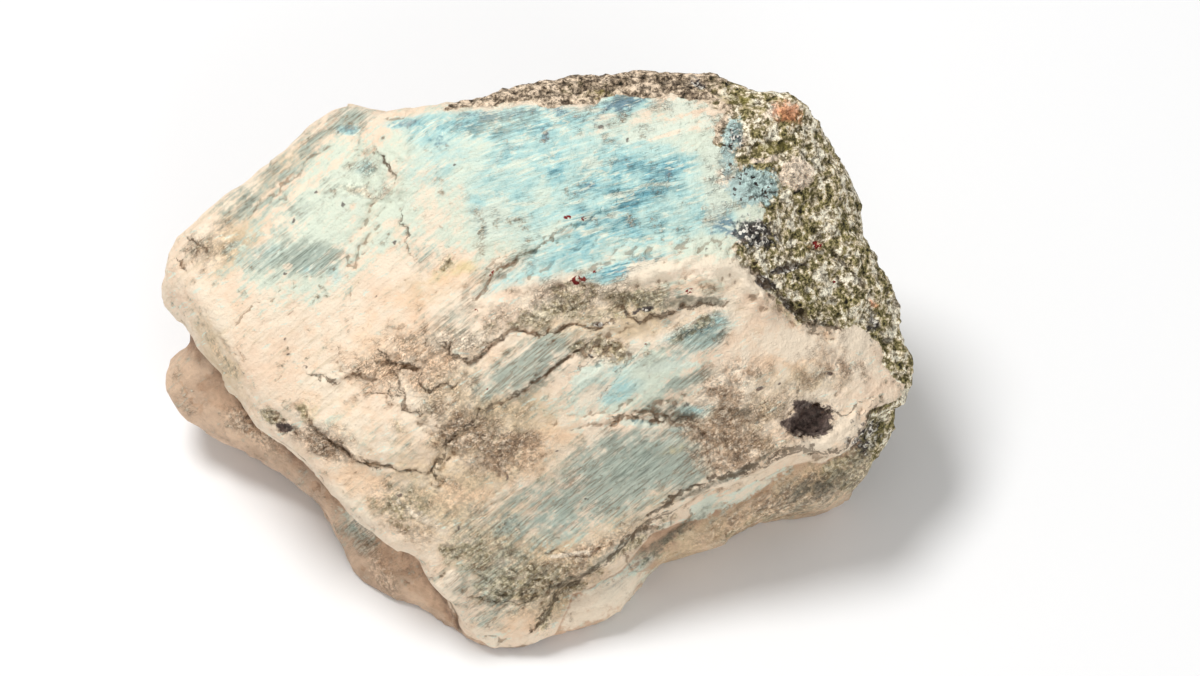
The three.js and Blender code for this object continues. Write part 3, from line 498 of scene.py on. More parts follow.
def noise(points, size, seed=0):
    """Smooth noise from about -1 to 1, with lumps about size across."""
    place = points / size + (seed * 13.7, seed * -7.9, seed * 5.3)
    cell = np.floor(place).astype(np.int64)
    part = place - cell
    blend = part**3 * (part * (part * 6 - 15) + 10)
    total = np.zeros(len(points))
    for corner in itertools.product((0, 1), repeat=3):
        slope = scattered(cell + corner, 0) * 2 - 1
        weight = np.prod(np.where(corner, blend, 1 - blend), axis=1)
        total += weight * (slope * (part - corner)).sum(1)
    return total * 1.5


def fractal(points, size, layers, seed=0):
    return sum(0.5**k * noise(points, size / 2**k, seed + k) for k in range(layers))


def chips(points, size, seed=0):
    """The height of broken chips: each point lies on the tilted plane of the nearest scattered seed."""
    place = points / size
    cell = np.floor(place).astype(np.int64)
    nearest = np.full(len(points), np.inf)
    height = np.zeros(len(points))
    for step in itertools.product((-1, 0, 1), repeat=3):
        at = cell + step
        offset = place - at - scattered(at, seed)
        distance = (offset**2).sum(1)
        tilt = scattered(at, seed + 1) * 2 - 1
        closer = distance < nearest
        height = np.where(closer, (offset * tilt).sum(1), height)
        nearest = np.where(closer, distance, nearest)
    return height


def splinters(points, turn, length, width, seed=0):
    """Chips drawn out along a way in the face, turn degrees above the horizontal."""
    angle = math.radians(turn)
    u, v, w = points.T
    run = u * math.cos(angle) + v * math.sin(angle)
    across = v * math.cos(angle) - u * math.sin(angle)
    return chips(np.stack([run / length, across / width, w / width], 1), 1, seed)


def outline_distance(uv, outline):
    """Distance to a closed outline, below 0 inside it."""
    nearest = np.full(len(uv), np.inf)
    inside = np.zeros(len(uv), bool)
    for a, b in zip(outline, outline[1:] + outline[:1]):
        edge = np.subtract(b, a)
        off = uv - a
        t = np.clip(off @ edge / (edge @ edge), 0, 1)
        nearest = np.minimum(nearest, np.hypot(*(off - t[:, None] * edge).T))
        if edge[1]:
            crosses = (a[1] > uv[:, 1]) != (b[1] > uv[:, 1])
            inside ^= crosses & (off[:, 0] < off[:, 1] * edge[0] / edge[1])
    return np.where(inside, -nearest, nearest)


def along(uv, line):
    """For each point, its distance to a line, 1 left of the way along it and -1 right, and the line's
    third number there."""
    nearest = np.full(len(uv), np.inf)
    side = np.zeros(len(uv))
    value = np.zeros(len(uv))
    for a, b in zip(line, line[1:]):
        edge = np.subtract(b[:2], a[:2])
        off = uv - a[:2]
        t = np.clip(off @ edge / (edge @ edge), 0, 1)
        distance = np.hypot(*(off - t[:, None] * edge).T)
        closer = distance < nearest
        nearest = np.where(closer, distance, nearest)
        side = np.where(closer, np.sign(edge[0] * off[:, 1] - edge[1] * off[:, 0]), side)
        if len(a) > 2:
            value = np.where(closer, a[2] + (b[2] - a[2]) * t, value)
    return nearest, side, value


def oval_radius(uv, middle, half, turn):
    angle = math.radians(turn)
    du, dv = (uv - middle).T
    across = (du * math.cos(angle) + dv * math.sin(angle)) / half[0]
    up = (dv * math.cos(angle) - du * math.sin(angle)) / half[1]
    return np.hypot(across, up)


def ledge_rise(uv, ledges, riser):
    rise = np.zeros(len(uv))
    for fade, line in ledges.values():
        distance, side, drop = along(uv, line)
        rise += 0.5 * side * drop * np.clip(distance / riser, 0, 1) * ease(distance / fade)
    return rise


def relief(uv, riser):
    """The relief that the solid's face has, with its ledges as steep as riser says."""
    rise = ledge_rise(uv, LEDGES, riser)
    for crest, half, line in RIBS.values():
        rise += crest * ease(along(uv, line)[0] / half)
    for middle, half, turn, crest, flat in BUMPS.values():
        r = oval_radius(uv, middle, half, turn)
        rise += crest * ease(np.clip((r - flat) / (1 - flat), 0, 1)) * (r < 1)
    return rise


# ---- The mesh ----------------------------------------------------------------------------------------
def refined_copy():
    """A copy of the solid in small squares, a third as large on the face as on the sides."""
    piece = bpy.data.objects.new("raw_larimar", STONE.data.copy())
    bpy.context.scene.collection.objects.link(piece)
    remesh = piece.modifiers.new("squares", "REMESH")
    remesh.mode = "VOXEL"
    remesh.voxel_size = COARSE * MM
    bpy.context.view_layer.update()
    evaluated = piece.evaluated_get(bpy.context.evaluated_depsgraph_get())
    squares = bpy.data.meshes.new_from_object(evaluated)
    piece.modifiers.clear()
    piece.data = squares

    # The fine squares are on the side that the camera sees.
    points = relaxed(points_of(squares), edges_of(squares), 3)
    set_points(squares, points)
    facing = normals_of(squares) @ SHOW_WAYS[2]
    fine = (facing > 0.15) & (to_show(points)[:, 2] > -10)
    cut = bmesh.new()
    cut.from_mesh(squares)
    cut.verts.ensure_lookup_table()
    edges = [e for e in cut.edges if fine[e.verts[0].index] and fine[e.verts[1].index]]
    bmesh.ops.subdivide_edges(cut, edges=edges, cuts=2, use_grid_fill=True)
    bmesh.ops.triangulate(cut, faces=[f for f in cut.faces if len(f.verts) > 4])
    cut.to_mesh(squares)
    cut.free()
    return piece


def read(items, name, width, kind=float):
    """One of a mesh's arrays, with a row for each vertex or edge."""
    flat = np.empty(len(items) * width, kind)
    items.foreach_get(name, flat)
    return flat.reshape(-1, width)


def points_of(mesh):
    return read(mesh.vertices, "co", 3)


def normals_of(mesh):
    mesh.update()
    return read(mesh.vertices, "normal", 3)


def edges_of(mesh):
    return read(mesh.edges, "vertices", 2, np.int64)


def set_points(mesh, points):
    mesh.vertices.foreach_set("co", points.ravel())
    mesh.update()


def averaged(points, edges, rounds, pulls=(0.5,)):
    """Points moved again and again towards the middle of their neighbours."""
    a, b = edges.T
    count = len(points)
    share = 1 / np.bincount(edges.ravel(), minlength=count)
    for pull in pulls * rounds:
        means = [
            (np.bincount(a, points[b, k], count) + np.bincount(b, points[a, k], count)) * share
            for k in range(3)
        ]
        points = points + pull * (np.stack(means, 1) - points)
    return points


def relaxed(points, edges, rounds):
    """The same, with each move taken back by as much, so that the shape keeps its size."""
    return averaged(points, edges, rounds, (0.5, -0.52))


def face_share(spots):
    """1 on the slab's face, easing to 0 at its rim and under it."""
    rim = outline_distance(spots[:, :2], SLAB_RIM)
    return smooth_step(-rim, 0.2, 2) * smooth_step(spots[:, 2], -9, -6)


def crust_share(spots, rows):
    """1 in the basalt crust along the back and the right, 0 in the pectolite."""
    wander = 1.6 * fractal(spots, 5, 3, 21)
    on_face = -outline_distance(spots[:, :2], CRUST_RIM)
    back = np.minimum(rows[:, 1] - 15, spots[:, 0] + 14 + 2 * wander)
    right = spots[:, 0] - 50 + 0.25 * spots[:, 1]
    beyond = np.maximum(back, right)
    reach = np.where(face_share(spots) > 0.5, on_face, np.maximum(on_face - 4, beyond))
    return smooth_step(reach + wander, -0.8, 0.8)


def straying(spots, size, layers, seed):
    """How far patches and drawn lines stray, right and up the face, in lumps about size across."""
    return np.stack([fractal(spots, size, layers, seed), fractal(spots, size, layers, seed + 4)], 1)


def torn(spots):
    """Places on the face, shifted a little so that drawn lines come out ragged."""
    jag = np.stack([noise(spots, 0.9, 51), noise(spots, 0.9, 52)], 1)
    return spots[:, :2] + 0.95 * straying(spots, 2.6, 3, 5) + 0.3 * jag


def crisp_relief(spots, ragged):
    """The face's relief with sharp ledges, the fine ledges and the cracks, along ragged lines."""
    worn = 0.8 + 0.5 * fractal(spots, 4, 2, 53)
    rise = relief(ragged, 0.35) - 0.35 * ledge_rise(ragged, LEDGES, 0.35)
    rise += worn * ledge_rise(ragged, FINE_LEDGES, 0.25)
    for depth, half, line in CRACKS.values():
        rise -= 0.5 * worn * depth * ease(along(ragged, line)[0] / half)
    return rise


def standing_out(spots, rows, share, ragged, wander):
    """How far chips, grit and lumps stand out of the skin, in millimetres."""
    crust = crust_share(spots, rows)
    grit = cover(ragged, FACE_COLOURS, "brown") + cover(ragged, FACE_COLOURS, "olive")
    grit = np.clip(grit, 0, 1) * share
    blocky = ease(oval_radius(spots[:, :2], *TERRACES)) * share
    smooth = share * (1 - grit) * (1 - crust)
    body = (1 - share) * (1 - crust)
    rough = 0.16 + 0.84 * ovals(ragged, ROUGH)
    bent = spots + 0.6 * np.c_[wander, wander[:, 0]]
    swept = spots + 1.6 * np.c_[wander, wander[:, 0]]

    crumbs = 0.5 * chips(bent, 2.6, 3) + 0.4 * noise(spots, 1.7, 2) + 0.28 * noise(spots, 0.95, 4)
    grains = 0.35 * chips(bent, 1.9, 6) + 0.22 * noise(spots, 0.9, 8)
    blocks = 0.9 * chips(bent * (1, 1.5, 1), 4.6, 11) + 0.25 * chips(bent, 2.2, 12)
    flakes = 0.42 * splinters(bent, FLAKE_TURN, 5, 1.9, 14)
    flakes += 0.2 * splinters(bent, FLAKE_TURN, 2.6, 0.9, 17) + 0.1 * noise(spots, 1.2, 19)
    bundles = 0.22 * splinters(swept, BUNDLE_TURN, 18, 8, 15)
    bundles += 0.14 * splinters(bent, BUNDLE_TURN, 10, 1.3, 16)
    lumps = 0.5 * noise(spots, 6, 31) + 0.2 * noise(spots, 2.5, 33) + 0.5 * chips(bent, 6, 35)
    out = crust * crumbs + grit * grains + blocky * blocks
    return out + smooth * (rough * flakes + bundles) + body * lumps


def sculpt(piece):
    """Cuts the relief crisp, breaks up the skin, and sets the stone flat on its base."""
    mesh = piece.data

    # The face's relief is taken off, the facets are smoothed away, and the relief comes back crisp.
    spots = to_show(points_of(mesh))
    spots[:, 2] -= face_share(spots) * relief(spots[:, :2], SOLID_RISER)
    points = relaxed(from_show(spots), edges_of(mesh), BLUR)
    spots = to_show(points)
    share = face_share(spots)
    wander = straying(spots, 2.6, 3, 5)
    ragged = torn(spots)
    spots[:, 2] += share * crisp_relief(spots, ragged)

    # Chips, grit and lumps go out along the skin's own normals.
    set_points(mesh, from_show(spots))
    out = standing_out(spots, points / MM, share, ragged, wander)
    points = from_show(spots) + normals_of(mesh) * out[:, None] * MM

    # It rests on its flat break and stays within the solid's box.
    low, high = np.array(cad_box[0]), np.array(cad_box[1])
    points[:, 2] = np.where(points[:, 2] < BASE_BAND * MM, 0, points[:, 2])
    set_points(mesh, np.clip(points, low, high))
    mesh.polygons.foreach_set("use_smooth", np.ones(len(mesh.polygons), bool))


# ---- Colour fields -----------------------------------------------------------------------------------
def ovals(uv, spots):
    """From 0 to 1: soft ovals laid one over another."""
    total = np.zeros(len(uv))
    for u, v, half_u, half_v, turn, strength in spots:
        r = oval_radius(uv, (u, v), (1.25 * half_u, 1.25 * half_v), turn)
        total += (1 - total) * strength * ease(r)
    return total


def cover(uv, table, name):
    """How much of a colour lies at each point."""
    return ovals(uv, table.get(name, ()))


def slab_share(spots):
    """1 on the slab, over its rim and down its wall, and 0 on the body under it."""
    rim = outline_distance(spots[:, :2], SLAB_RIM)
    tear = 0.8 * fractal(spots, 3, 3, 37)
    return smooth_step(spots[:, 2] + tear, -8, -6.5) * smooth_step(2.5 - rim, 0, 1)


def crack_fields(uv):
    """How strong the nearest crack line (a crack, or painted shadow at a ledge or the rim) is, fading at
    its ends, and the signed way to it in millimetres.
    """
    nearest = np.full(len(uv), 9.0)
    strength = np.zeros(len(uv))
    for depth, half, line in CRACKS.values():
        way, side, along_it = along(uv, [(u, v, end) for (u, v), end in zip(line, ends(line))])
        closer = way < np.abs(nearest)
        nearest = np.where(closer, way * side, nearest)
        reach = depth * smooth_step(along_it, 0.02, 0.25) * smooth_step(1.8 - way, 0, 0.8)
        strength = np.where(closer, reach, strength)
    return strength, nearest


def ledge_foot_dirt_and_shade(uv):
    """Dirt and painted shade at the foot of a ledge: 1 right under a high one, 0 on top."""
    foot = np.zeros(len(uv))
    for _, line in itertools.chain(LEDGES.values(), FINE_LEDGES.values()):
        distance, side, drop = along(uv, line)
        reach = 0.3 + 0.4 * drop
        foot = np.maximum(foot, (side < 0) * np.minimum(drop / 0.9, 1) * ease(distance / reach))
    return foot


def ends(line):
    """0 at a line's two ends and 1 between them."""
    return [0.0] + [1.0] * (len(line) - 2) + [0.0]


def hollows(mesh):
    """How far each point lies below the skin around it, in tenths of a millimetre."""
    points = points_of(mesh)
    edges = edges_of(mesh)
    normals = normals_of(mesh)
    near = averaged(points, edges, 6)
    far = averaged(near, edges, 30)
    depth = ((near - points) * normals).sum(1) * 1.6 + ((far - points) * normals).sum(1) * 0.5
    return depth / (0.1 * MM)


def give_fields(piece):
    """Gives each point of the mesh the fields that the material reads."""
    mesh = piece.data
    points = points_of(mesh)
    spots = to_show(points)
    place = mesh.attributes.new("show", "FLOAT_VECTOR", "POINT")
    place.data.foreach_set("vector", spots.ravel())
    u, v, w = spots.T
    face = spots[:, :2]
    slab = slab_share(spots)
    body = 1 - slab
    crust = crust_share(spots, points / MM)
    rim = outline_distance(face, SLAB_RIM)
    wander = straying(spots, 2.6, 3, 5)
    drifted = face + 0.7 * straying(spots, 9, 4, 41)
    ragged = torn(spots)
    facing = normals_of(mesh) @ SHOW_WAYS[2]
    seen = smooth_step(w, -24, -18) * smooth_step(facing, -0.1, 0.15)

    fields = {"slab": slab, "crust": crust}
    for number, name in enumerate(FACE_COLOURS):
        cloud = 1 + 0.4 * fractal(spots, 4, 4, 60 + number)
        on_slab = slab * cover(drifted, FACE_COLOURS, name)
        fields[name] = cloud * (on_slab + body * cover(drifted, BODY_COLOURS, name))
    for name in OVER_COLOURS:
        fields[name] = seen * cover(face + 0.5 * wander, OVER_COLOURS, name)

    strength, fields["way"] = crack_fields(ragged)
    fields["crack"] = strength * seen
    # Dirt and painted shade at the feet of the ledges.
    fields["foot"] = slab * ledge_foot_dirt_and_shade(ragged)
    # Painted shadow on the body along the slab's rim.
    rim_shadow = body * (1 - crust) * smooth_step(0.9 + 0.3 * wander[:, 1] - rim, 0, 0.6)
    on_foam = ovals(drifted, BODY_COLOURS["foam"])
    fields["rim_shadow"] = rim_shadow * (0.2 + 0.8 * smooth_step(u, -22, -10)) * (1 - 0.8 * on_foam)
    # Painted shade on the body under the slab, less on its pale places.
    under = body * smooth_step(3 + wander[:, 0] - rim, 0, 3)
    on_pale = ovals(drifted, BODY_COLOURS["cream"] + BODY_COLOURS["foam"])
    fields["under"] = under * (1 - on_pale)
    rough = slab * ovals(face + wander, ROUGH) + 0.12 * body
    fields["rough"] = rough
    on_cream = np.clip(fields["cream"], 0, 1)
    # How far the skin dips; the material turns it into dirt and painted shade in hollows and a painted
    # highlight on raised edges.
    fields["hollow"] = hollows(mesh) / (1 + 3 * rough) * (1 - 0.7 * on_cream)
    fields["lean"] = smooth_step(v + 0.3 * u, 8, 20) * smooth_step(u, -18, -4)
    fields["back"] = smooth_step(u, 38, 24)
    for name, values in fields.items():
        made = mesh.attributes.new(name, "FLOAT", "POINT")
        made.data.foreach_set("value", values)


# ---- The material ------------------------------------------------------------------------------------
def srgb(red, green, blue):
    """A colour for a shader from its everyday values of 0 to 255."""
    def linear(c):
        c /= 255
        return c / 12.92 if c < 0.04045 else ((c + 0.055) / 1.055) ** 2.4
    return (linear(red), linear(green), linear(blue), 1)


CREAM = srgb(243, 226, 202)
ROSE = srgb(238, 211, 184)
BEIGE = srgb(214, 191, 156)
MINT = srgb(217, 227, 208)
PALE_BLUE = srgb(202, 226, 217)
TURQUOISE = srgb(186, 217, 210)
SKY = srgb(158, 202, 203)
DEEP = srgb(106, 160, 172)
INDIGO = srgb(112, 136, 150)
GREY = srgb(170, 180, 166)
SHADE = srgb(112, 108, 92)
PEACH = srgb(246, 210, 174)
YELLOW = srgb(230, 208, 156)
GRIT_DARK = srgb(164, 132, 104)
GRIT = srgb(200, 168, 138)
GRIT_LIGHT = srgb(244, 222, 196)
OLIVE_DARK = srgb(110, 98, 64)
OLIVE = srgb(174, 162, 126)
OLIVE_LIGHT = srgb(232, 220, 190)
CRUST_GAP_AND_SHADE = srgb(44, 40, 28)
CRUST_DARK = srgb(110, 102, 66)
CRUST_OLIVE = srgb(162, 150, 100)
CRUST_TAN = srgb(208, 190, 160)
CRUST_CREAM = srgb(246, 238, 214)
EARTH_DARK = srgb(122, 104, 86)
EARTH = srgb(172, 152, 128)
EARTH_LIGHT = srgb(230, 208, 182)
LICHEN = srgb(140, 130, 58)
SLATE = srgb(184, 210, 206)
NIGHT = srgb(50, 44, 50)
PIT = srgb(80, 64, 62)
RUST = srgb(244, 168, 122)
KNOB = srgb(252, 232, 208)
RED = srgb(128, 38, 34)
BODY_LIGHT = srgb(220, 186, 156)
BODY_DARK = srgb(168, 134, 108)
BODY_DEEP = srgb(116, 88, 72)
CRACK = srgb(96, 80, 62)
HOLLOW = srgb(124, 92, 64)
HOLLOW_GREEN = srgb(110, 120, 104)
HOLLOW_BLUE = srgb(104, 140, 146)
WHITE = srgb(240, 234, 222)
FOAM = srgb(222, 230, 213)


class Paint:
    """Short names for the nodes of the stone's material, with the textures that its coats share."""

    def __init__(self, material):
        material.use_nodes = True
        self.tree = material.node_tree
        self.shader = self.tree.nodes["Principled BSDF"]
        self.show = self.node("ShaderNodeAttribute", "Vector", {}, attribute_name="show")
        self.broad = self.noise(8, 3)
        self.patchy = self.noise(3.2, 4, 0.62)
        self.small = self.noise(1.1, 3, 0.65)
        self.grain = self.noise(0.42, 2, 0.6)
        self.lean = self.field("lean")
        self.fibres = self.leaning((40, 0.7, 7, 4), (17, 0.7, 5, 4))
        self.wisps = self.streaks(20, 1.3, 4.5, 4, 1.6)
        self.speck = self.grains(1)
        self.fine_speck = self.grains(0.5)
        self.crust = self.field("crust")
        self.blue = self.field("blue")
        self.rough = self.field("rough")
        self.gritty = self.greatest(self.field("brown"), self.field("olive"))
        self.rugged = self.greatest(self.crust, self.gritty, self.field("pit"))

    def node(self, kind, output, inputs, **settings):
        made = self.tree.nodes.new(kind)
        for name, value in settings.items():
            setattr(made, name, value)
        for name, value in inputs.items():
            self.put(value, made.inputs[name])
        return made.outputs[output]

    def put(self, value, socket):
        if isinstance(value, bpy.types.NodeSocket):
            self.tree.links.new(value, socket)
        else:
            socket.default_value = value

    def field(self, name):
        return self.node("ShaderNodeAttribute", "Fac", {}, attribute_name=name)

    def math(self, operation, a, b=0.0, c=0.0):
        return self.node("ShaderNodeMath", 0, {0: a, 1: b, 2: c}, operation=operation)

    def times(self, a, b):
        return self.math("MULTIPLY", a, b)

    def times_plus(self, a, b, c):
        return self.math("MULTIPLY_ADD", a, b, c)

    def add(self, *terms):
        """The sum of (socket, factor) pairs."""
        total = 0.0
        for socket, factor in terms:
            total = self.times_plus(socket, factor, total)
        return total

    def greatest(self, most, *others):
        for other in others:
            most = self.math("MAXIMUM", most, other)
        return most

    def step(self, value, low, high):
        inputs = {"Value": value, "From Min": low, "From Max": high}
        return self.node("ShaderNodeMapRange", 0, inputs, interpolation_type="SMOOTHSTEP")

    def noise(self, size, detail=3.0, roughness=0.6, distortion=0.0, where=None):
        """Noise from about -1 to 1."""
        inputs = {"Vector": where or self.show, "Scale": 1 / size, "Detail": detail}
        inputs |= {"Roughness": roughness, "Distortion": distortion}
        return self.times_plus(self.node("ShaderNodeTexNoise", 0, inputs), 7.0, -3.5)

    def bent(self, waves, detail, reach):
        """Places on the stone, shifted about by noise."""
        inputs = {"Vector": self.show, "Scale": waves, "Detail": detail}
        bend = self.node("ShaderNodeTexNoise", 1, inputs)
        shift = {0: bend, 1: (reach, reach, reach), 2: self.show}
        return self.node("ShaderNodeVectorMath", 0, shift, operation="MULTIPLY_ADD")

    def drawn_out(self, where, turn, scale):
        """Places scaled along a way in the face, turn degrees above the horizontal, and across it."""
        turned = {"Vector": where, "Rotation": (0, 0, math.radians(-turn))}
        along_x = self.node("ShaderNodeMapping", 0, turned)
        return self.node("ShaderNodeMapping", 0, {"Vector": along_x, "Scale": scale})

    def streaks(self, turn, width, length, detail=3.0, distortion=0.0):
        """Noise drawn out along a way in the face, turn degrees above the horizontal."""
        where = self.drawn_out(self.show, turn, (1 / length, 1 / width, 0.2 / width))
        return self.noise(1.0, detail, 0.6, distortion, where)

    def leaning(self, steep, flat):
        """Steep streaks, but flat ones at the upper right of the face."""
        return self.blend(self.lean, self.streaks(*steep), self.streaks(*flat))

    def grains(self, size):
        """A number from 0 to 1 for each of the grains that the surface is broken into."""
        inputs = {"Vector": self.bent(1.5 / size, 1.0, size), "Scale": 1 / size}
        cells = self.node("ShaderNodeTexVoronoi", 1, inputs)
        return self.node("ShaderNodeSeparateColor", 0, {0: cells})

    def net(self, turn, length, width):
        """Long cells along a way in the face: how near their edge is, and a number for each."""
        kind = "ShaderNodeTexVoronoi"
        where = {"Vector": self.drawn_out(self.bent(0.7, 3.0, 2.4), turn, (1 / length, 1 / width, 1))}
        edge = self.node(kind, 0, where, voronoi_dimensions="2D", feature="DISTANCE_TO_EDGE")
        cell = self.node(kind, 1, where, voronoi_dimensions="2D")
        return edge, self.node("ShaderNodeSeparateColor", 0, {0: cell})

    def blend(self, share, a, b):
        """a where share is 0, b where it is 1."""
        return self.node("ShaderNodeMix", 0, {0: share, 2: a, 3: b})

    def mix(self, share, under, over):
        return self.node("ShaderNodeMix", 2, {0: share, 6: under, 7: over}, data_type="RGBA")

    def wash(self, under, over, share, strength):
        """Lays a colour over another where share says, at most to strength."""
        return self.mix(self.times(share, strength), under, over)

    def coat(self, under, over, name, low, high, strength, *terms):
        """Lays a colour over another where its field and the noise terms add up to more than low."""
        share = self.step(self.add((self.field(name), 1.0), *terms), low, high)
        return self.wash(under, over, share, strength)

    def ramp(self, value, stops):
        made = self.tree.nodes.new("ShaderNodeValToRGB")
        elements = made.color_ramp.elements
        while len(elements) < len(stops):
            elements.new(0.5)
        for element, (place, colour) in zip(elements, stops):
            element.position = place
            element.color = colour
        self.put(value, made.inputs[0])
        return made.outputs[0]


def ground_colour(p):
    """The lower body's mottled brown, and the slab's pectolite: cream to rose, with beige fibres."""
    clouds = p.add((p.broad, 0.5), (p.patchy, 0.4))
    flesh = p.mix(p.step(clouds, -0.9, 0.9), BODY_LIGHT, BODY_DARK)
    blots = p.step(p.add((p.patchy, 0.6), (p.small, 0.3)), 0.1, 0.9)
    flesh = p.wash(flesh, BODY_DEEP, blots, 0.3)
    flesh = p.wash(flesh, BODY_DEEP, p.step(p.fine_speck, 0.6, 1.0), 0.15)
    ground = p.mix(p.step(clouds, -0.8, 0.8), CREAM, ROSE)
    ground = p.wash(ground, BEIGE, p.step(p.fibres, 0.1, 1.4), 0.45)
    slab = p.step(p.add((p.field("slab"), 1.0), (p.small, 0.08)), 0.35, 0.65)
    colour = p.mix(slab, flesh, ground)
    return p.coat(colour, BEIGE, "beige", 0.1, 0.8, 0.9, (p.patchy, 0.16), (p.small, 0.06))


def blue_over(p, colour):
    """Blue in streaks and clouds over mint, pale wisps between them, and the greys and warm tints."""
    patchy, small, fibres, wisps = p.patchy, p.small, p.fibres, p.wisps
    colour = p.coat(colour, MINT, "mint", 0.2, 0.6, 0.92, (patchy, 0.18), (fibres, 0.16), (small, 0.12))
    streaks = p.add((wisps, 0.34), (fibres, 0.24), (patchy, 0.22), (small, 0.16))
    depth = p.times_plus(p.step(p.blue, 0.0, 0.6), p.times(streaks, 0.55), p.blue)
    stops = [(0.1, PALE_BLUE), (0.34, TURQUOISE), (0.6, SKY), (0.92, DEEP)]
    colour = p.mix(p.step(depth, 0.04, 0.34), colour, p.ramp(depth, stops))
    noises = ((patchy, 0.26), (small, 0.2), (wisps, 0.12))
    colour = p.coat(colour, INDIGO, "indigo", 0.35, 0.85, 0.85, *noises)
    pale = p.step(p.add((wisps, -0.7), (fibres, -0.3), (small, 0.2), (p.blue, 0.5)), 0.6, 0.85)
    colour = p.wash(colour, FOAM, pale, p.times(p.field("slab"), 0.8))
    colour = p.coat(colour, FOAM, "foam", 0.3, 0.6, 0.85, (patchy, 0.16), (small, 0.16), (wisps, -0.16))
    colour = p.coat(colour, GREY, "grey", 0.1, 0.85, 0.92, (patchy, 0.16), (fibres, 0.2), (small, 0.14))
    colour = p.coat(colour, PEACH, "peach", 0.1, 0.8, 0.8, (patchy, 0.16), (fibres, -0.1))
    return p.coat(colour, YELLOW, "yellow", 0.15, 0.8, 0.8, (small, 0.14))


def grit_over(p, colour):
    """Brown and olive grit, shaded and cream places, painted shade on the body under the slab, and a
    painted shadow along the slab's rim.
    """
    patchy, small, fibres = p.patchy, p.small, p.fibres
    grit = p.ramp(p.fine_speck, [(0.0, GRIT_DARK), (0.5, GRIT), (1.0, GRIT_LIGHT)])
    colour = p.coat(colour, grit, "brown", 0.15, 0.7, 0.8, (patchy, 0.2), (small, 0.16))
    moss = p.ramp(p.fine_speck, [(0.0, OLIVE_DARK), (0.36, OLIVE), (0.9, OLIVE_LIGHT)])
    colour = p.coat(colour, moss, "olive", 0.2, 0.7, 0.8, (patchy, 0.2), (small, 0.18))
    colour = p.coat(colour, SHADE, "shade", 0.15, 0.8, 0.85, (small, 0.14), (fibres, 0.14))
    colour = p.coat(colour, CREAM, "cream", 0.3, 0.65, 0.9, (small, 0.12), (fibres, -0.12))
    # Painted shade on the body under the slab.
    colour = p.coat(colour, BODY_DEEP, "under", 0.45, 1.2, 0.5, (small, 0.12), (patchy, 0.1))
    # Painted shadow along the slab's rim.
    return p.coat(colour, CRACK, "rim_shadow", 0.3, 0.9, 0.55, (small, 0.1))


def dirt_and_shade_colour(p):
    """Dirt and painted shade are brown, greener on the mint and bluer on the blue."""
    on_mint = p.add((p.blue, 1.0), (p.field("mint"), 0.6), (p.field("grey"), 0.5))
    dirt_and_shade = p.mix(p.step(on_mint, 0.5, 1.0), HOLLOW, HOLLOW_GREEN)
    on_blue = p.add((p.blue, 1.0), (p.field("foam"), 0.5), (p.patchy, 0.1))
    return p.mix(p.step(on_blue, 0.25, 0.5), dirt_and_shade, HOLLOW_BLUE)


def dirt_and_shade_over(p, colour, dirt_and_shade, hollow):
    """Dirt and painted shade at the feet of the ledges and in the hollows, and a painted highlight on
    raised edges.
    """
    foot = p.add((p.field("foot"), 1.0), (p.small, 0.16), (p.patchy, 0.1))
    # Dirt and painted shade at the feet of the ledges.
    colour = p.wash(colour, dirt_and_shade, p.step(foot, 0.2, 0.9), 0.16)
    colour = p.wash(colour, dirt_and_shade, p.step(foot, 0.55, 0.8), 0.5)
    # Dirt and painted shade in the hollows.
    colour = p.wash(colour, dirt_and_shade, p.step(hollow, 0.3, 2.4), 0.16)
    colour = p.wash(colour, dirt_and_shade, p.step(hollow, 1.8, 2.6), 0.45)
    # Painted highlight: raised edges made paler.
    return p.wash(colour, CREAM, p.step(hollow, -0.5, -2.5), 0.2)


def basalt_over(p, colour, hollow):
    """The basalt crust, olive on the right and brown behind, with dark gaps and painted shade in the
    hollows between its crumbs.
    """
    crumb = p.noise(0.8, 4, 0.7)
    lump = p.noise(2.1, 2, 0.5)
    mottle = p.add((p.speck, 0.3), (crumb, 0.24), (p.patchy, 0.2), (lump, 0.24))
    mottle = p.math("ADD", mottle, 0.52)
    olives = [(0.22, CRUST_DARK), (0.5, CRUST_OLIVE), (0.72, CRUST_TAN), (0.95, CRUST_CREAM)]
    browns = [(0.25, EARTH_DARK), (0.55, EARTH), (0.95, EARTH_LIGHT)]
    rock = p.ramp(mottle, [(0.0, CRUST_GAP_AND_SHADE)] + olives)
    earth = p.ramp(mottle, [(0.0, CRUST_GAP_AND_SHADE)] + browns)
    rock = p.mix(p.step(p.add((p.field("back"), 1.0), (p.patchy, 0.35)), 0.2, 0.8), rock, earth)
    rock = p.coat(rock, CRUST_DARK, "shade", 0.2, 0.7, 0.75, (p.small, 0.25))
    rock = p.coat(rock, LICHEN, "lichen", 0.3, 0.9, 0.6, (p.small, 0.25))
    colour = p.coat(colour, rock, "crust", 0.4, 0.6, 1.0, (p.small, 0.1))
    # Painted shade in the crust's hollows.
    return p.wash(colour, CRUST_GAP_AND_SHADE, p.step(hollow, 0.5, 3.0), p.times(p.crust, 0.5))


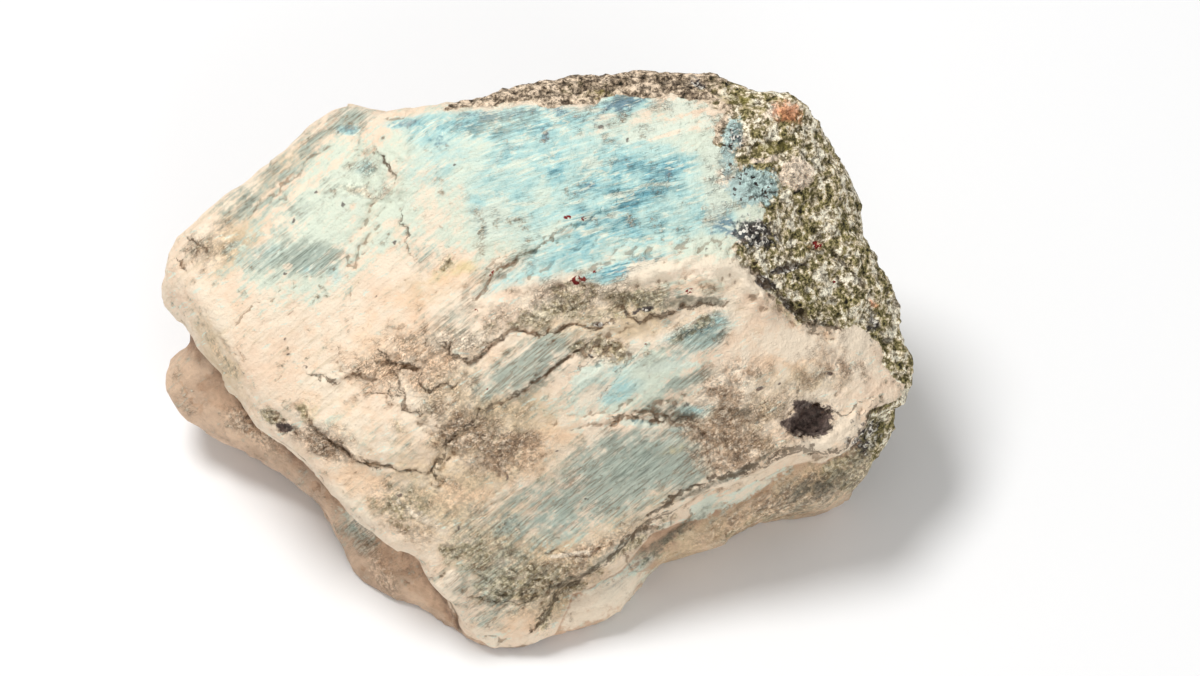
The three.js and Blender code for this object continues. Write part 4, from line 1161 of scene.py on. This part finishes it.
def marks_over(p, colour):
    """What lies over pectolite and crust alike: slate, a pale knob, rust, dark patches (some of them
    painted shade), pits, red.
    """
    small, fine_speck = p.small, p.fine_speck
    slate = p.mix(p.step(fine_speck, 0.82, 0.95), SLATE, NIGHT)
    colour = p.coat(colour, slate, "slate", 0.3, 0.6, 0.9, (small, 0.18))
    pale = p.mix(p.step(fine_speck, 0.75, 1.0), KNOB, ROSE)
    colour = p.coat(colour, pale, "pale", 0.3, 0.6, 0.9, (small, 0.16))
    colour = p.coat(colour, RUST, "rust", 0.3, 0.9, 0.8, (small, 0.2))
    night = p.mix(p.step(fine_speck, 0.72, 0.8), NIGHT, WHITE)
    # Dark patches, some of them painted shade.
    colour = p.coat(colour, night, "dark", 0.3, 0.65, 0.9, (small, 0.2), (p.patchy, 0.1))
    colour = p.coat(colour, PIT, "dots", 0.2, 0.6, 0.8, (p.grain, 0.1))
    colour = p.coat(colour, PIT, "pit", 0.35, 0.6, 0.92, (small, 0.16), (p.grain, 0.06))
    return p.wash(colour, RED, p.step(fine_speck, 0.5, 0.6), p.step(p.field("red"), 0.25, 0.4))


def flakes_over(p, colour, dirt_and_shade):
    """Flakes of slightly different shades, split by hair cracks, where the face is rough.

    Also gives the splits and how high each flake stands.
    """
    edge, flake = p.net(FLAKE_TURN, 4.2, 1.7)
    fit = p.step(p.add((p.rough, 0.8), (p.patchy, 0.3), (p.small, 0.12)), 0.25, 0.65)
    fit = p.times(fit, p.math("SUBTRACT", 1.0, p.crust))
    split = p.times(p.step(p.times_plus(p.grain, 0.02, edge), 0.1, 0.02), fit)
    stands = p.times(flake, fit)
    colour = p.wash(colour, dirt_and_shade, p.step(stands, 0.6, 1.0), 0.16)
    colour = p.wash(colour, CREAM, p.times(p.step(flake, 0.4, 0.0), fit), 0.4)
    return p.wash(colour, HOLLOW, split, 0.62), split, stands


def creases_over(p, colour, dirt_and_shade):
    """The thin dark lines between bundles of fibres; gives the lines too."""
    thin = p.leaning((BUNDLE_TURN, 0.55, 8, 2, 0.6), (14, 0.55, 7, 2, 0.8))
    fit = p.add((p.field("grey"), 0.8), (p.rough, 0.5), (p.blue, 0.6), (p.patchy, 0.25), (p.crust, -1.0))
    crease = p.times(p.step(p.math("ABSOLUTE", thin), 0.26, 0.04), p.step(fit, 0.05, 0.6))
    return p.wash(colour, dirt_and_shade, crease, 0.5), crease


def grained(p, colour):
    """Fine light and dark, strong in the crust and the grit, and hairlines along the fibres."""
    fine = p.noise(0.8, 2, 0.75)
    hair = p.leaning((40, 0.5, 3.5, 2), (17, 0.5, 3.5, 2))
    grit = p.times(p.step(p.gritty, 0.1, 0.5), 0.8)
    worn = p.add((p.rough, 0.9), (p.field("beige"), 0.4), (p.field("shade"), 0.5), (p.patchy, 0.1))
    worn = p.times(p.step(worn, 0.15, 0.75), 0.65)
    grain_share = p.times(p.greatest(p.rugged, grit, worn), 0.24)
    hair_share = p.times(p.add((p.blue, 1.0), (p.field("grey"), 0.6)), 0.2)
    hair_share = p.times(hair_share, p.math("SUBTRACT", 1.0, p.crust))
    crisp = p.add((p.step(fine, 0.1, 0.5), 1.0), (p.step(fine, -0.1, -0.5), -1.4), (fine, 0.5))
    light = p.times_plus(crisp, grain_share, p.times_plus(hair, hair_share, 1.0))
    return p.node("ShaderNodeHueSaturation", 0, {"Color": colour, "Value": light})


def cracks_over(p, colour):
    """Thin dark lines that swell, shrink and break off, partly cracks and partly painted shadow; gives
    the lines too.
    """
    width = p.times(p.field("crack"), p.times_plus(p.small, 0.3, 0.26))
    near = p.math("ABSOLUTE", p.times_plus(p.grain, 0.12, p.field("way")))
    line = p.step(p.math("SUBTRACT", width, near), -0.08, 0.08)
    return p.wash(colour, CRACK, line, 0.68), line


def larimar_material():
    material = bpy.data.materials.new("larimar")
    p = Paint(material)
    dirt_and_shade = dirt_and_shade_colour(p)
    # For dirt and painted shade in hollows and a painted highlight on raised edges.
    hollow = p.add((p.field("hollow"), 1.0), (p.grain, 0.25), (p.small, 0.2))
    colour = grit_over(p, blue_over(p, ground_colour(p)))
    colour = dirt_and_shade_over(p, colour, dirt_and_shade, hollow)
    colour = marks_over(p, basalt_over(p, colour, hollow))
    colour, split, flakes = flakes_over(p, colour, dirt_and_shade)
    colour, crease = creases_over(p, colour, dirt_and_shade)
    colour, line = cracks_over(p, grained(p, colour))
    p.put(colour, p.shader.inputs["Base Color"])

    dull = p.add((p.crust, 0.22), (p.gritty, 0.15), (p.small, 0.03))
    p.put(p.math("ADD", dull, 0.58), p.shader.inputs["Roughness"])
    p.shader.inputs["Specular IOR Level"].default_value = 0.2

    rise = p.add((p.grain, 0.25), (p.small, 0.4), (p.fibres, 0.3), (p.speck, 0.3))
    lines = p.add((line, -0.8), (split, -0.7), (flakes, 3.0), (crease, -0.7))
    height = p.times(p.math("ADD", rise, lines), p.times_plus(p.rugged, 1.2, 0.5))
    bump = p.node("ShaderNodeBump", 0, {"Height": height, "Strength": 0.9, "Distance": 0.22 * MM})
    p.put(bump, p.shader.inputs["Normal"])
    return material


# ---- The studio --------------------------------------------------------------------------------------
PICTURE_WIDTH = 120 * 1200 / 758  # what the picture takes in at the middle of the face
VIEW_DISTANCE = 900
LOOK_AT = (10.45, 2.93, 12)  # the middle of the picture, in the show frame


def make_camera():
    data = bpy.data.cameras.new("camera")
    data.lens = data.sensor_width * VIEW_DISTANCE / PICTURE_WIDTH
    data.clip_start = 0.05
    data.clip_end = 20
    camera = bpy.data.objects.new("camera", data)
    bpy.context.scene.collection.objects.link(camera)
    eye = from_show(np.array(LOOK_AT) + (0, 0, VIEW_DISTANCE))
    turned = Matrix(SHOW_WAYS.T).to_4x4()
    camera.matrix_world = Matrix.Translation(Vector(eye)) @ turned
    bpy.context.scene.camera = camera


def make_light(name, place, size, power, target=(0, 0, 0.03)):
    data = bpy.data.lights.new(name, "AREA")
    data.shape = "DISK"
    data.size = size
    data.energy = power
    light = bpy.data.objects.new(name, data)
    bpy.context.scene.collection.objects.link(light)
    light.location = place
    light.rotation_mode = "QUATERNION"
    light.rotation_quaternion = (Vector(target) - Vector(place)).to_track_quat("-Z", "Y")


def make_studio():
    floor_mesh = bpy.data.meshes.new("floor")
    half = 6.0
    corners = [(-half, -half, 0), (half, -half, 0), (half, half, 0), (-half, half, 0)]
    floor_mesh.from_pydata(corners, [], [(0, 1, 2, 3)])
    floor = bpy.data.objects.new("floor", floor_mesh)
    bpy.context.scene.collection.objects.link(floor)
    paper = bpy.data.materials.new("paper")
    paper.use_nodes = True
    paper.node_tree.nodes["Principled BSDF"].inputs["Base Color"].default_value = (0.9, 0.9, 0.9, 1)
    paper.node_tree.nodes["Principled BSDF"].inputs["Roughness"].default_value = 0.9
    floor_mesh.materials.append(paper)

    world = bpy.data.worlds.new("studio")
    bpy.context.scene.world = world
    world.use_nodes = True
    sky = world.node_tree.nodes["Background"]
    sky.inputs["Color"].default_value = (1, 1, 1, 1)
    sky.inputs["Strength"].default_value = 0.42
    make_light("key", (-0.32, 0.15, 0.93), 0.34, 6.9)
    make_light("front", (0.35, -1.0, 0.6), 0.8, 3.4)
    scene = bpy.context.scene
    scene.view_settings.view_transform = "Standard"
    scene.view_settings.look = "None"


make_camera()
make_studio()
larimar = refined_copy()
sculpt(larimar)
give_fields(larimar)
larimar.data.materials.clear()
larimar.data.materials.append(larimar_material())
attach(larimar, "root")
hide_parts("larimar_stone")
